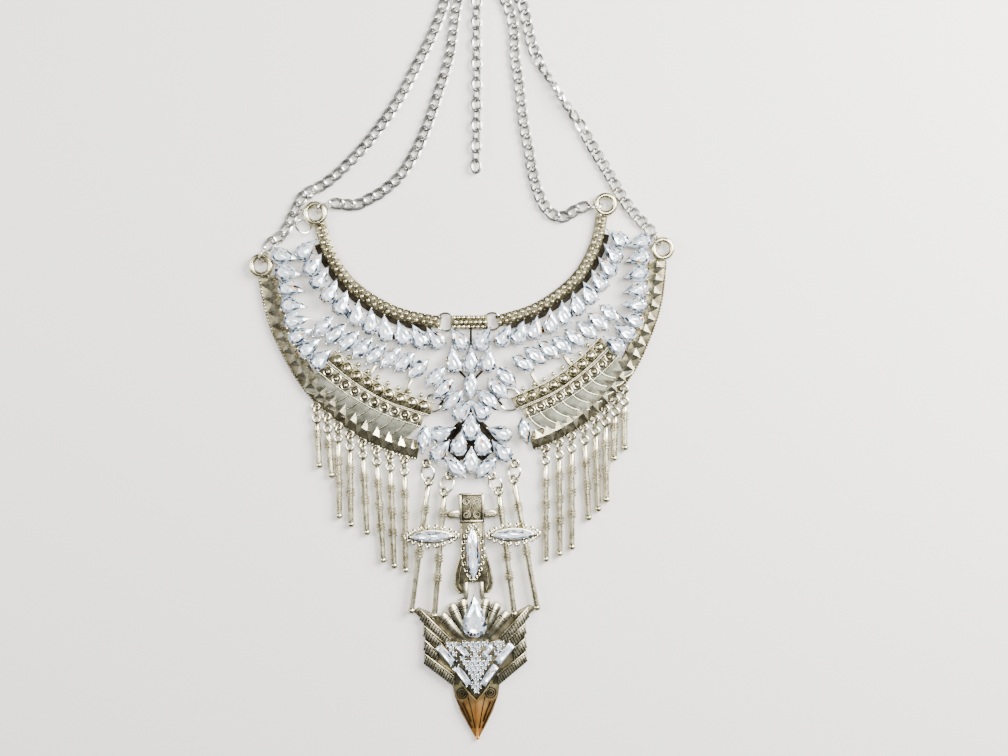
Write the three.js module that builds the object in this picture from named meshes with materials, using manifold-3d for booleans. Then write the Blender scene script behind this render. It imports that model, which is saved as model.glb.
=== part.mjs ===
// A bib necklace in antique silver and clear crystal, lying flat on its back.
// Millimetres, +Z up, +Y towards the clasp. The back of the castings lies on z = 0.
// The places below are measured from the middle of the centre piece.

import * as THREE from "three";
import { ConvexGeometry } from "three/addons/geometries/ConvexGeometry.js";
import { mergeVertices } from "three/addons/utils/BufferGeometryUtils.js";
import Module from "manifold-3d";

const wasm = await Module();
wasm.setup();

// Driving dimensions: heights above the surface that the necklace lies on
const GAP = 0.3;
const PLATE = 2.6;
const RAIL = { bottom: 1.2, top: 2.6, width: 1.5 };
const CUP_BOTTOM = RAIL.top + GAP;
const GALLERY = { height: 0.6, width: 1.2 };

// Stones with their settings
const CUT = { height: 2.5, table: 0.55 };
const LARGE_CUT = { cup: 1.3, crown: 1.2, foot: 0.8, table: 0.56 };
const PEAR = { width: 6.5, length: 10.6 };
const NAVETTE = { width: 5.2, length: 10.8 };
const FAN_PEAR = { width: 7.8, length: 10.8 };

// Wing castings
const COLLAR = { width: 4.8, edge: 1.9, crown: 3.1, steps: 13 };
const OUTER_BAND = { width: 8, pyramids: 18, pyramid: 2.5, rise: 1.8, inset: 3, steps: 13 };
const DOME_BAND = { width: 5.4, domes: 9, inset: 3.4, steps: 5, profile: [[2, -0.3], [1.5, 1], [0, 1.7]] };
const RINGED_BAND = { width: 5.4, discs: 10, inset: 3, top: 2.4, steps: 5, profile: [[2, -0.3], [0, 1.1]] };
const SCALES = { count: 7, width: 4.8, length: 3.4, height: 0.5 };
const END_RING = { radius: 3.8, wire: 1.2, height: 2.35, sides: 5, steps: 10 };
const END_RING_PLACES = { outer: [-70.8, 22.4], inner: [-49.2, 43.2] };
const COLLAR_SEAT = { x: -0.9, y: -0.1, width: 5, depth: 6 };

// Eyes, jump rings and link rings
const EYE = { outer: 1.92, hole: 1.15, thickness: 0.8 };
const WIRE = 0.3;
const LINK_WIRE = 0.4;
const LINK_HEIGHT = 1.3;
const SEAT = { hole: 0.9, wall: 0.6, depth: 1.2, floor: 0.55, ceiling: 2 };
const RING_TILT = 42;

// Turned drops: lengths from the eye's centre to the end ball's centre
const DROP = {
  axis: 1.65, rod: 0.9, moulding: 1.65, half: 0.9, ball: 1.3, reach: 4.9, hang: 4.8, rim: 1.6, neck: 0.35,
};
const DROP_KINDS = {
  short: { length: 18.5, mouldings: [6] },
  medium: { length: 31, mouldings: [9.1, 18.2] },
  long: { length: 39.4, mouldings: [8.8, 17.6, 26.2] },
};
const DROP_ROW = { firstShare: 0.555, lastShare: 0.951 };
const DROPS = [
  { kind: "short", leanLeft: 2.9, leanRight: 0.4 },
  { kind: "short", leanLeft: 4.6, leanRight: -0.9 },
  { kind: "medium", leanLeft: 0.7, leanRight: 0.8 },
  { kind: "medium", leanLeft: 0.7, leanRight: 2.1 },
  { kind: "medium", leanLeft: 2.9, leanRight: 3 },
  { kind: "long", leanLeft: 3.7, leanRight: 0.2 },
  { kind: "long", leanLeft: 2.2, leanRight: 0.4 },
  { kind: "long", leanLeft: 0.6, leanRight: 0.3 },
];

// Chains lie flat. Each is one oval bar here, as wide and thick as its links.
const CHAIN = { width: 4.2, thickness: 2.2, sides: 8 };
const EXTENSION = { width: 4.1, thickness: 3.4 };

// Where the main parts lie on the surface
const LEFT_WING = { x: -13.2, y: 22.4, turn: 0, scale: 1 };
const RIGHT_WING = { x: 10.7, y: 22.9, turn: 6.1, scale: 0.96 };
const CENTER = { x: -0.4, y: 0 };
const PENDANT = { x: 0, y: -51.6, turn: 1.4 };

// Lines of one wing, in its own frame: the origin is the collar's inner end and +X points towards it.
const COLLAR_LINE = [
  [-47.4, 39.8], [-45.6, 32.8], [-42.6, 25.6], [-36, 16], [-27.6, 9.2], [-15.6, 3.2], [0.8, -0.3],
];
const OUTER_LINE = [
  [-68.1, 18.1], [-66.6, 10], [-64, 0], [-59.6, -10], [-51.6, -23.6], [-43.8, -32], [-35.6, -38.8],
  [-26, -45], [-15.6, -49.2],
  [-7.9, -51],
];
const DOME_LINE = [[-42.8, -13.4], [-32.4, -21.8], [-19.6, -29.2], [-2.6, -34.8]];
const RINGED_LINE = [[-46.4, -18.1], [-36.8, -25.6], [-20.8, -34.6], [-6.4, -39.5]];
const EDGE_LINE = [[-63.8, 26.4], [-61.2, 14], [-59.4, 2], [-56.2, -8], [-48.4, -16.4]];
const MIDDLE_LINE = [[-46, -2], [-35.4, -8], [-25.2, -12.8], [-14, -15.8], [-8.2, -18.8]];

// Rows of stones in a wing: the direction of each long axis, from tip to round end, in degrees
const NECKLINE_TURNS = [225, 234, 234, 242, 249, 258, 266, 272, 287, 295, 306];
const NECKLINE_ROW = { firstShare: 0.098, lastShare: 0.925, drop: 2.9 };
const EDGE_TURNS = [169, 171, 171, 174, 188, 205, 217, 221];
const MIDDLE_TURNS = [45, 45, 45, 45, 45, 44, 42, 40];
const CORNER_STONE = { x: -5.8, y: -46.6, turn: 84, width: 5.6, length: 10.8 };
const EDGE_CENTER_SHARE = 0.18;

// Struts behind the wing's stones, from the collar outwards
const WING_STRUTS = [
  { from: [-46.8, 34], to: [-66, 16] },
  { from: [-36.6, 16], to: [-57.4, -11] },
  { from: [-27.6, 9], to: [-42.6, -16] },
  { from: [-20, 5], to: [-28, -22] },
  { from: [-12, 2], to: [-14, -30] },
  { from: [-6, -39], to: [-8.4, -50] },
];

// Fill plate between the ringed band and the band of pyramids
const FILL_OUTLINE = [
  [-47, -19.4], [-33, -28.4], [-20.8, -35], [-10.6, -39.4], [-15.4, -47], [-26, -43], [-35.6, -36.6],
  [-44, -29.6], [-50.4, -22.4],
];

// Height of the eyes that the pendant hangs from
const LOOP_HEIGHT = 2.75;

// Stones of the centre piece: x is mirrored where pair is true
const CENTER_STONES = [
  { cut: "pear", x: 3.9, y: 14, turn: 237, pair: true },
  { cut: "pear", x: 6.8, y: 5.3, turn: 264, pair: true },
  { cut: "pear", x: 0, y: 5.4, turn: 270, pair: false },
  { cut: "navette", x: 14, y: 0.4, turn: -45, pair: true },
  { cut: "navette", x: 10.8, y: -4.2, turn: -45, pair: true },
  { cut: "navette", x: 7, y: -8.8, turn: -45, pair: true },
  { cut: "navette", x: 0, y: -3.2, turn: 90, pair: false },
  { cut: "pear", x: 4.4, y: -14, turn: 310, pair: true },
  { cut: "fan", x: 0, y: -21, turn: 270, pair: false },
  { cut: "pear", x: 13.2, y: -22.4, turn: 339, pair: true },
  { cut: "pear", x: 4.9, y: -27.6, turn: 282, pair: true },
  { cut: "pear", x: 13.2, y: -30.2, turn: 311, pair: true },
  { cut: "navette", x: 6.2, y: -35.5, turn: 44, pair: true, foot: LOOP_HEIGHT + 0.7 },
  { cut: "pear", x: 0.2, y: -34.6, turn: 270, pair: false },
];
const CENTER_BAR = { x: -0.7, y: 22.3, length: 15, width: 5.4, seat: 5.85 };
const CENTER_SPINE = { top: 20.5, bottom: -36 };
const CENTER_STRUTS = [
  { from: [6.4, 20.6], to: [6.8, 5.3] },
  { from: [6.8, 5.3], to: [0, -2] },
  { from: [14.4, 0.8], to: [0, -14] },
  { from: [0, -13], to: [16.4, -32.4] },
  { from: [0, -26], to: [7.8, -37.2] },
];
const CENTER_WIRE = { from: [0, 8], to: [0, -37] };
const CENTER_WIRES = [
  { from: [3.9, 15], to: [7.6, 5] },
  { from: [6.8, 3], to: [-0.5, -2.6] },
  { from: [14.4, 0.8], to: [-0.5, -13.6] },
  { from: [-0.5, -11.6], to: [13.8, -23] },
  { from: [13.2, -21], to: [13.2, -31.5] },
  { from: [-0.5, -26.4], to: [13.8, -30.6] },
  { from: [-0.5, -36.2], to: [7.4, -34.6] },
];
const LOWER_SEAT = { wingX: -5.6, wingY: -32.4, centerX: 11.6, centerY: -10, armX: 8.6, armY: -6.6 };
const FAN_LOOPS = [{ x: 17.6, y: -34.1 }, { x: 8.4, y: -38.8 }];

// Pendant, in its own frame: the origin is the middle of its square plaque
const PLAQUE = { width: 9.8, height: 11.6, bottom: 0.4, top: 3.2, rim: 0.9, rise: 0.5 };
const EAR = { x: 5.6, y: -2.6, length: 3.4, radius: 1.7, bottom: 0.8, top: 2.8 };
const BODY = { bottom: 0.4, top: 2.8 };
const BODY_OUTLINE = [
  [4.8, -5.6], [4.8, -16.6], [7.6, -27.4], [7.6, -32.2], [5.8, -34.4], [5, -37],
];
const BODY_HOLE = { x: 2.1, top: -30.6, bottom: -34 };
const PLATE_STONE = { y: -18, length: 20, width: 5.6, cup: 0.9, crown: 0.9 };
const CROSS_BAR = { x: 22, y: -10.9, inner: 4.3, width: 2, bottom: 2.2, top: 3.8 };
const WING_PLATE = { x: 16.2, half: 10, width: 3.5, bottom: 3.6, top: 4.5, beads: 5, bead: 1.5 };
const BAR_STONE = { length: 17, width: 4.2, cup: 0.6, crown: 0.8 };
const BARS = [
  { x: 16.9, y: 10.9, endX: 25, endY: -40.4, mouldings: [11.2, 29] },
  { x: 10.8, y: 6.4, endX: 15.9, endY: -42.6, mouldings: [8.2, 26.2, 34] },
];
const ARROW = { bottom: 0.6, top: 2.6 };
const ARROW_OUTLINE = [
  [11, -43.4], [15.6, -42.6], [22.2, -39.4], [25, -40.6], [21, -44], [20.2, -46.6], [19.8, -53],
  [20.4, -58.6], [20, -62], [9.2, -69.8],
  [0, -74],
];
const FEATHERS = [
  { from: [21.4, -41.4], to: [12.6, -51.2] },
  { from: [19.2, -47.6], to: [14.4, -53.2] },
  { from: [19, -53.8], to: [17, -56] },
  { from: [19.4, -60], to: [11.6, -66.4] },
];
const FEATHER = { width: 1.7, top: 3.4 };
const RAYS = [{ x: 13.6, y: -41.8 }, { x: 9.6, y: -38 }, { x: 5, y: -36 }];
const RAY = { originY: -57.2, start: 7.6, width: 3.8, inner: 1.4, bottom: 0.6, top: 3 };
const ARROW_PEAR = { tip: -34.8, bottom: -51.4, width: 9.6, cup: 1.2, crown: 1.4 };
const PAVE_OUTLINE = [[0, -55.2], [9.6, -52.6], [15, -57.2], [0, -76]];
const PAVE = { bottom: 2.9, top: 3.7, rise: 1 };
const BAGUETTES = [
  { x: 9.8, y: -58.8, turn: 56, length: 9.4, width: 2.9 },
  { x: 4.8, y: -66.4, turn: 56, length: 8, width: 2.7 },
  { x: 4.2, y: -58.4, turn: 50, length: 6, width: 2.5 },
];
const BEAK = { y: -68.6, width: 18.4, tip: -92, waist: -78, bottom: 0.6, edge: 1.8, ridge: 2.5, bead: 1.2 };

// The closing stretch at the back of the neck
const CLOSING = { x: 2.2, y: 170, halfSpan: 7.8, rise: 1.2 };
const END_RINGS = { radius: 3.9, wire: 0.5, height: 1.2 };
const LEFT_END_RING = { x: CLOSING.x - CLOSING.halfSpan, y: CLOSING.y - CLOSING.rise };
const RIGHT_END_RING = { x: CLOSING.x + CLOSING.halfSpan, y: CLOSING.y + CLOSING.rise };
const CLASP = { width: 3.2, thickness: 2.6, bar: 1.4, play: 0.9 };
const CHAIN_RING = { radius: 2.3, wire: 0.35, offset: 3.6, tilt: 60 };
const CHAIN_ENDS = {
  outerLeft: [-3, -4.6],
  innerLeft: [2.4, -4.7],
  innerRight: [-0.8, -5.2],
  outerRight: [4, -4],
  extension: [-5.5, -3.3],
};
const CHAIN_RING_TURNS = { outerLeft: 74, innerLeft: 35, innerRight: 183, outerRight: 121 };

// Routes of the chains from the wings to the end rings, as measured. Each back end is tied to its end ring.
const OUTER_LEFT_ROUTE = [
  [-82, 51.5], [-79.8, 54.4], [-76.4, 56.6], [-73.8, 60.4], [-71.4, 65.2], [-69.6, 69], [-67.2, 72.8],
  [-64, 74.8], [-59.6, 77], [-53.6, 81.6],
  [-45.2, 90], [-36.4, 100.8], [-28.6, 112.4], [-22.4, 124], [-17.8, 132.8], [-14, 141.2],
  [-11, 149.6], [-9.6, 155.2], [-8.9, 160],
  [-8.6, 164.2],
];
const INNER_LEFT_ROUTE = [
  [-56.3, 69.9], [-52, 69.4], [-46, 69.2], [-40.8, 71.6], [-36.4, 74], [-29.4, 80], [-24, 87.8],
  [-19.6, 96.4], [-16.4, 104.8],
  [-13.6, 113.2], [-10.8, 122], [-8.4, 131.2], [-7.2, 140.4], [-5.8, 149.6], [-4.2, 156.4],
  [-3.4, 161.2], [-3.2, 164.1],
];
const INNER_RIGHT_ROUTE = [
  [9.2, 166], [10, 160], [11.6, 154.8], [13.9, 149.6], [15.8, 144], [16.8, 138], [17.2, 128.4],
  [18.4, 120], [19.6, 110.6],
  [20.8, 101.2], [22.8, 90.8], [24, 83.2], [26, 75.6], [28.8, 69], [33.2, 64.8], [37.6, 64.6],
  [41.6, 67.2], [46.3, 68.8],
];
const OUTER_RIGHT_ROUTE = [
  [14, 167.2], [15.1, 164], [16.2, 159.2], [18.2, 153.6], [20.4, 148], [22, 141.6], [23.8, 133.6],
  [26.8, 126.2], [32.4, 117.2],
  [37.2, 109.6], [42.8, 101.6], [48.6, 91.6], [54.4, 82], [59.6, 72.8], [64.8, 65.6], [69.2, 61],
  [72.4, 57.6],
];
const EXTENSION_ROUTE = [[4.5, 167.9], [2.8, 159.2], [2, 151.2], [2, 115.2], [1.6, 82.4]];

// Materials
const silver = new THREE.MeshStandardMaterial({ color: 0xb3ae98, metalness: 1, roughness: 0.34 });
const brightSilver = new THREE.MeshStandardMaterial({ color: 0xd4d3cc, metalness: 1, roughness: 0.22 });
const chainSteel = new THREE.MeshStandardMaterial({ color: 0xaaa9a4, metalness: 1, roughness: 0.3 });
const crystal = new THREE.MeshStandardMaterial({ color: 0xdfe9ef, metalness: 0.1, roughness: 0.05 });

// Geometry helpers
const flat = ([x, y]) => new THREE.Vector3(x, y, 0);
const radians = THREE.MathUtils.degToRad;
const curveThrough = (points) => new THREE.CatmullRomCurve3(points.map(flat), false, "centripetal");

function closedIndex(geometry) {
  const kept = [];
  const index = geometry.index.array;
  for (let i = 0; i < index.length; i += 3) {
    const [a, b, c] = [index[i], index[i + 1], index[i + 2]];
    if (a !== b && b !== c && c !== a) kept.push(a, b, c);
  }
  return kept;
}

function signedVolume(position, index) {
  const [a, b, c] = [new THREE.Vector3(), new THREE.Vector3(), new THREE.Vector3()];
  let total = 0;
  for (let i = 0; i < index.length; i += 3) {
    a.fromArray(position, 3 * index[i]);
    b.fromArray(position, 3 * index[i + 1]);
    c.fromArray(position, 3 * index[i + 2]);
    total += a.dot(b.cross(c)) / 6;
  }
  return total;
}

// A closed geometry as a solid, turned the right way out
function toSolid(geometry) {
  const bare = geometry.clone();
  bare.deleteAttribute("normal");
  bare.deleteAttribute("uv");
  const merged = mergeVertices(bare, 1e-4);
  const position = Float32Array.from(merged.attributes.position.array);
  const index = closedIndex(merged);
  if (signedVolume(position, index) < 0) index.reverse();
  const triVerts = Uint32Array.from(index);
  return new wasm.Manifold(new wasm.Mesh({ numProp: 3, vertProperties: position, triVerts }));
}

function toGeometry(solid) {
  const mesh = solid.getMesh();
  const geometry = new THREE.BufferGeometry();
  geometry.setAttribute("position", new THREE.BufferAttribute(mesh.vertProperties, 3));
  geometry.setIndex(new THREE.BufferAttribute(mesh.triVerts, 1));
  geometry.computeVertexNormals();
  return geometry;
}

const joined = (solids) => solids.reduce((whole, solid) => whole.add(solid));
const ringPoints = (radius, sides) => Array.from({ length: sides }, (_, i) => {
  const angle = (2 * Math.PI * (i + 0.5)) / sides;
  return [radius * Math.cos(angle), radius * Math.sin(angle)];
});
const shapeOf = (points) => new THREE.Shape(points.map(([x, y]) => new THREE.Vector2(x, y)));
const mirrored = (points) => {
  const others = points.filter(([x]) => x !== 0).map(([x, y]) => [-x, y]);
  return [...points, ...others.reverse()];
};

// A flat plate of an outline between two heights
function plate(points, bottom, top, hole) {
  const shape = shapeOf(points);
  if (hole) shape.holes.push(new THREE.Path(hole.map(([x, y]) => new THREE.Vector2(x, y))));
  const geometry = new THREE.ExtrudeGeometry(shape, { depth: top - bottom, bevelEnabled: false });
  return geometry.translate(0, 0, bottom);
}

function block(x, y, bottom, width, depth, height, turn = 0) {
  const geometry = new THREE.BoxGeometry(width, depth, height);
  return geometry.rotateZ(radians(turn)).translate(x, y, bottom + height / 2);
}

function strut(from, to, { bottom, top, width }) {
  const [dx, dy] = [to[0] - from[0], to[1] - from[1]];
  const turn = THREE.MathUtils.radToDeg(Math.atan2(dy, dx));
  const [x, y] = [(from[0] + to[0]) / 2, (from[1] + to[1]) / 2];
  return block(x, y, bottom, Math.hypot(dx, dy) + width, width, top - bottom, turn);
}

// A band swept along a flat curve. The profile gives [height, offset to the left of the curve].
function sweep(curve, profile, steps) {
  const shape = shapeOf(profile.map(([height, across]) => [-height, across]));
  return new THREE.ExtrudeGeometry(shape, { steps, extrudePath: curve, bevelEnabled: false });
}

const bandProfile = (width, bottom, top) => [
  [bottom, -width / 2], [bottom, width / 2], [top, width / 2], [top, -width / 2],
];

// Places at equal distances along a curve, with the curve's direction there
function placesAlong(curve, count, first, last) {
  return Array.from({ length: count }, (_, i) => {
    const share = count > 1 ? first + ((last - first) * i) / (count - 1) : first;
    const point = curve.getPointAt(share);
    const tangent = curve.getTangentAt(share);
    const side = new THREE.Vector3(tangent.y, -tangent.x, 0);
    return { point, tangent, side, turn: THREE.MathUtils.radToDeg(Math.atan2(tangent.y, tangent.x)) };
  });
}

const insetShares = (curve, inset) => [inset / curve.getLength(), 1 - inset / curve.getLength()];

// A solid lofted through rings of [points, height], closed by flat caps
function loft(rings) {
  const sides = rings[0].points.length;
  const position = rings.flatMap(({ points, height }) => points.flatMap(([x, y]) => [x, y, height]));
  const index = [];
  for (let ring = 0; ring + 1 < rings.length; ring += 1) {
    for (let side = 0; side < sides; side += 1) {
      const [a, b] = [ring * sides + side, ring * sides + ((side + 1) % sides)];
      index.push(a, b, b + sides, a, b + sides, a + sides);
    }
  }
  const lid = (rings.length - 1) * sides;
  for (let side = 1; side + 1 < sides; side += 1) {
    index.push(0, side + 1, side);
    index.push(lid, lid + side, lid + side + 1);
  }
  const geometry = new THREE.BufferGeometry();
  geometry.setAttribute("position", new THREE.Float32BufferAttribute(position, 3));
  geometry.setIndex(index);
  return geometry;
}

// Stone outlines with the long axis on +X. A pear's origin is the middle of its round end, its tip on -X.
function pearOutline(width, length) {
  const round = width / 2;
  const tip = length - round;
  const flank = [[-0.58 * tip, 0.56 * round], [-0.05 * round, round], [0.68 * round, 0.73 * round]];
  const otherFlank = flank.map(([x, y]) => [x, -y]);
  return [...otherFlank, [round, 0], ...flank.reverse(), [-tip, 0]];
}

function navetteOutline(width, length) {
  const [half, wide] = [length / 2, width / 2];
  return [
    [half, 0], [0.55 * half, 0.68 * wide], [0, wide], [-0.55 * half, 0.68 * wide],
    [-half, 0], [-0.55 * half, -0.68 * wide], [0, -wide], [0.55 * half, -0.68 * wide],
  ];
}

function baguetteOutline(width, length) {
  const [half, wide, corner] = [length / 2, width / 2, width / 5];
  return [
    [half, wide - corner], [half - corner, wide], [corner - half, wide], [-half, wide - corner],
    [-half, corner - wide], [corner - half, -wide], [half - corner, -wide], [half, corner - wide],
  ];
}

const scaled = (outline, share) => outline.map(([x, y]) => [x * share, y * share]);

// A cut stone with its setting: eight facets that slope up from the outline to the table
function cutStone(outline, x, y, turn, bottom, height = CUT.height) {
  const geometry = loft([
    { points: outline, height: bottom },
    { points: scaled(outline, CUT.table), height: bottom + height },
  ]);
  return geometry.rotateZ(radians(turn)).translate(x, y, 0);
}

// A large stone also shows its cup: foot, girdle and table
function largeStone(outline, x, y, turn, bottom, { cup, crown } = LARGE_CUT) {
  const geometry = loft([
    { points: scaled(outline, LARGE_CUT.foot), height: bottom },
    { points: outline, height: bottom + cup },
    { points: scaled(outline, LARGE_CUT.table), height: bottom + cup + crown },
  ]);
  return geometry.rotateZ(radians(turn)).translate(x, y, 0);
}

const pearCut = pearOutline(PEAR.width, PEAR.length);
const navetteCut = navetteOutline(NAVETTE.width, NAVETTE.length);
const fanCut = pearOutline(FAN_PEAR.width, FAN_PEAR.length);
const makers = {
  pear: (x, y, turn, foot = CUP_BOTTOM) => cutStone(pearCut, x, y, turn, foot),
  navette: (x, y, turn, foot = CUP_BOTTOM) => cutStone(navetteCut, x, y, turn, foot),
  fan: (x, y, turn) => largeStone(fanCut, x, y, turn, CUP_BOTTOM),
};

// Low domes on a plate, whose profile gives [radius, height] from the foot up
function dome(x, y, bottom, profile) {
  const points = [[0, profile[0][1]], ...profile].map(([r, z]) => new THREE.Vector2(r, z));
  return new THREE.LatheGeometry(points, 8).rotateX(Math.PI / 2).translate(x, y, bottom);
}

function eye(x, y, height) {
  const disc = plate(ringPoints(EYE.outer, 8), 0, EYE.thickness, ringPoints(EYE.hole, 6));
  return disc.translate(x, y, height - EYE.thickness / 2);
}

// A round wire ring through two places, tilted about the line between them
function ringBetween(from, to, wire, tilt, height) {
  const [dx, dy] = [to[0] - from[0], to[1] - from[1]];
  const geometry = new THREE.TorusGeometry(Math.hypot(dx, dy) / 2, wire, 5, 10);
  geometry.rotateZ(radians(18));
  geometry.rotateY(radians(tilt));
  geometry.rotateZ(Math.atan2(dy, dx) - Math.PI / 2);
  return geometry.translate((from[0] + to[0]) / 2, (from[1] + to[1]) / 2, height);
}

// A seat that a flat link ring runs through: the metal over the ring is cut back, with a staple under it
function withRingSeat(solid, x, y, clear) {
  const cut = block(clear.x, clear.y, -1, clear.width, clear.depth, SEAT.ceiling + 1, clear.turn);
  const outer = 2 * (SEAT.hole + SEAT.wall);
  const staple = block(x, y, 0, outer, SEAT.depth, SEAT.ceiling + SEAT.wall / 2);
  const tunnel = block(x, y, SEAT.floor, 2 * SEAT.hole, 2 * SEAT.depth, SEAT.ceiling - SEAT.floor);
  return solid.subtract(toSolid(cut)).add(toSolid(staple).subtract(toSolid(tunnel)));
}

// The wing's metal: bands, relief, rings, rails and struts
const collarCurve = curveThrough(COLLAR_LINE);
const outerCurve = curveThrough(OUTER_LINE);
const domeCurve = curveThrough(DOME_LINE);
const ringedCurve = curveThrough(RINGED_LINE);
const edgeCurve = curveThrough(EDGE_LINE);
const middleCurve = curveThrough(MIDDLE_LINE);

function stonePlaces(places, turns) {
  return places.map(({ point }, i) => ({ x: point.x, y: point.y, turn: turns[i] }));
}

const { firstShare, lastShare } = NECKLINE_ROW;
const necklinePlaces = placesAlong(collarCurve, NECKLINE_TURNS.length, firstShare, lastShare)
  .map(({ point, side }, i) => {
    const turn = NECKLINE_TURNS[i];
    const reach = PEAR.length - PEAR.width / 2;
    const x = point.x + side.x * NECKLINE_ROW.drop + reach * Math.cos(radians(turn));
    const y = point.y + side.y * NECKLINE_ROW.drop + reach * Math.sin(radians(turn));
    return { x, y, turn };
  });
const edgePlaces = stonePlaces(placesAlong(edgeCurve, EDGE_TURNS.length, 0, 1), EDGE_TURNS);
const middlePlaces = stonePlaces(placesAlong(middleCurve, MIDDLE_TURNS.length, 0, 1), MIDDLE_TURNS);
const dropLoops = placesAlong(outerCurve, DROPS.length, DROP_ROW.firstShare, DROP_ROW.lastShare)
  .map(({ point, side }) => [point.x + side.x * DROP.reach, point.y + side.y * DROP.reach]);
const railCurve = (places) => curveThrough(places.map(({ x, y }) => [x, y]));

function collarBand() {
  const { width, edge, crown, steps } = COLLAR;
  const half = width / 2;
  const flat = 0.3 * half;
  const profile = [[0, -half], [0, half], [edge, half], [crown, flat], [crown, -flat], [edge, -half]];
  return toSolid(sweep(collarCurve, profile, steps));
}

function pyramidBand() {
  const parts = [toSolid(sweep(outerCurve, bandProfile(OUTER_BAND.width, 0, PLATE), OUTER_BAND.steps))];
  const [first, last] = insetShares(outerCurve, OUTER_BAND.inset);
  for (const { point, turn } of placesAlong(outerCurve, OUTER_BAND.pyramids, first, last)) {
    const pyramid = new THREE.ConeGeometry(OUTER_BAND.pyramid, OUTER_BAND.rise + 1, 4);
    pyramid.rotateX(Math.PI / 2).rotateZ(radians(turn));
    parts.push(toSolid(pyramid.translate(point.x, point.y, PLATE + OUTER_BAND.rise / 2 - 0.3)));
  }
  for (const [x, y] of dropLoops) parts.push(toSolid(eye(x, y, DROP.axis)));
  const whole = joined(parts);
  return dropLoops.reduce((solid, [x, y]) => {
    const hole = plate(ringPoints(EYE.hole, 6), -1, PLATE + 1).translate(x, y, 0);
    return solid.subtract(toSolid(hole));
  }, whole);
}

function domeBand() {
  const { width, domes, inset, steps, profile } = DOME_BAND;
  const parts = [toSolid(sweep(domeCurve, bandProfile(width, 0, PLATE), steps))];
  for (const { point } of placesAlong(domeCurve, domes, ...insetShares(domeCurve, inset))) {
    parts.push(toSolid(dome(point.x, point.y, PLATE, profile)));
  }
  return joined(parts);
}

function ringedBand() {
  const { width, discs, inset, top, steps, profile } = RINGED_BAND;
  const parts = [toSolid(sweep(ringedCurve, bandProfile(width, 0, top), steps))];
  for (const { point } of placesAlong(ringedCurve, discs, ...insetShares(ringedCurve, inset))) {
    parts.push(toSolid(dome(point.x, point.y, top, profile)));
  }
  return joined(parts);
}

// Overlapping crescent scales between the ringed band and the pyramids
function scalePlates() {
  const parts = [toSolid(plate(FILL_OUTLINE, 0, PLATE - 0.6))];
  const outline = ringPoints(1, 6).map(([x, y]) => [x * SCALES.length, y * SCALES.width]);
  const drop = RINGED_BAND.width / 2 + 2.6;
  for (const { point, side, turn } of placesAlong(ringedCurve, SCALES.count, 0.06, 0.8)) {
    const scale = plate(outline, 0, SCALES.height + 0.4).rotateX(radians(-4)).rotateZ(radians(turn - 38));
    parts.push(toSolid(scale.translate(point.x + side.x * drop, point.y + side.y * drop, PLATE - 0.9)));
  }
  return joined(parts);
}

function wingFrame() {
  const parts = [collarBand(), pyramidBand(), domeBand(), ringedBand(), scalePlates()];
  for (const [x, y] of Object.values(END_RING_PLACES)) {
    const { radius, wire, height, sides, steps } = END_RING;
    parts.push(toSolid(new THREE.TorusGeometry(radius, wire, sides, steps).translate(x, y, height)));
  }
  for (const { from, to } of WING_STRUTS) parts.push(toSolid(strut(from, to, RAIL)));
  const { x, y, width, depth } = COLLAR_SEAT;
  const clear = { x: x + 1.1, y, width, depth, turn: 0 };
  const whole = withRingSeat(joined(parts), x, y, clear);
  const { wingX, wingY } = LOWER_SEAT;
  const lowerClear = { x: wingX + 1.9, y: wingY - 2, width: 5.4, depth: 9, turn: -14 };
  return withRingSeat(whole, wingX, wingY, lowerClear);
}

// A low wire along a flat curve that joins the stones of a field at their feet
function galleryWire(curve, steps) {
  return toSolid(sweep(curve, bandProfile(GALLERY.width, CUP_BOTTOM, CUP_BOTTOM + GALLERY.height), steps));
}

function stoneRow(places, makeStone) {
  const parts = places.map(({ x, y, turn }) => toSolid(makeStone(x, y, turn)));
  parts.push(galleryWire(railCurve(places), Math.ceil(places.length / 2)));
  return joined(parts);
}

const edgeShift = (PEAR.length - PEAR.width) * EDGE_CENTER_SHARE;
const edgeStones = edgePlaces.map(({ x, y, turn }) => ({
  x: x - edgeShift * Math.cos(radians(turn)),
  y: y - edgeShift * Math.sin(radians(turn)),
  turn,
}));

const cornerCut = navetteOutline(CORNER_STONE.width, CORNER_STONE.length);
const wingSolids = {
  wing_frame: [wingFrame(), silver],
  neckline_stones: [stoneRow(necklinePlaces, makers.pear), crystal],
  edge_stones: [stoneRow(edgeStones, makers.pear), crystal],
  middle_stones: [stoneRow(middlePlaces, makers.navette), crystal],
  corner_stone: [
    toSolid(largeStone(cornerCut, CORNER_STONE.x, CORNER_STONE.y, CORNER_STONE.turn, CUP_BOTTOM)),
    crystal,
  ],
};

// Centre piece: bead bar, spine, arms and loops
const bothSides = ({ from, to }) => [{ from, to }, { from: [-from[0], from[1]], to: [-to[0], to[1]] }];

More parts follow.
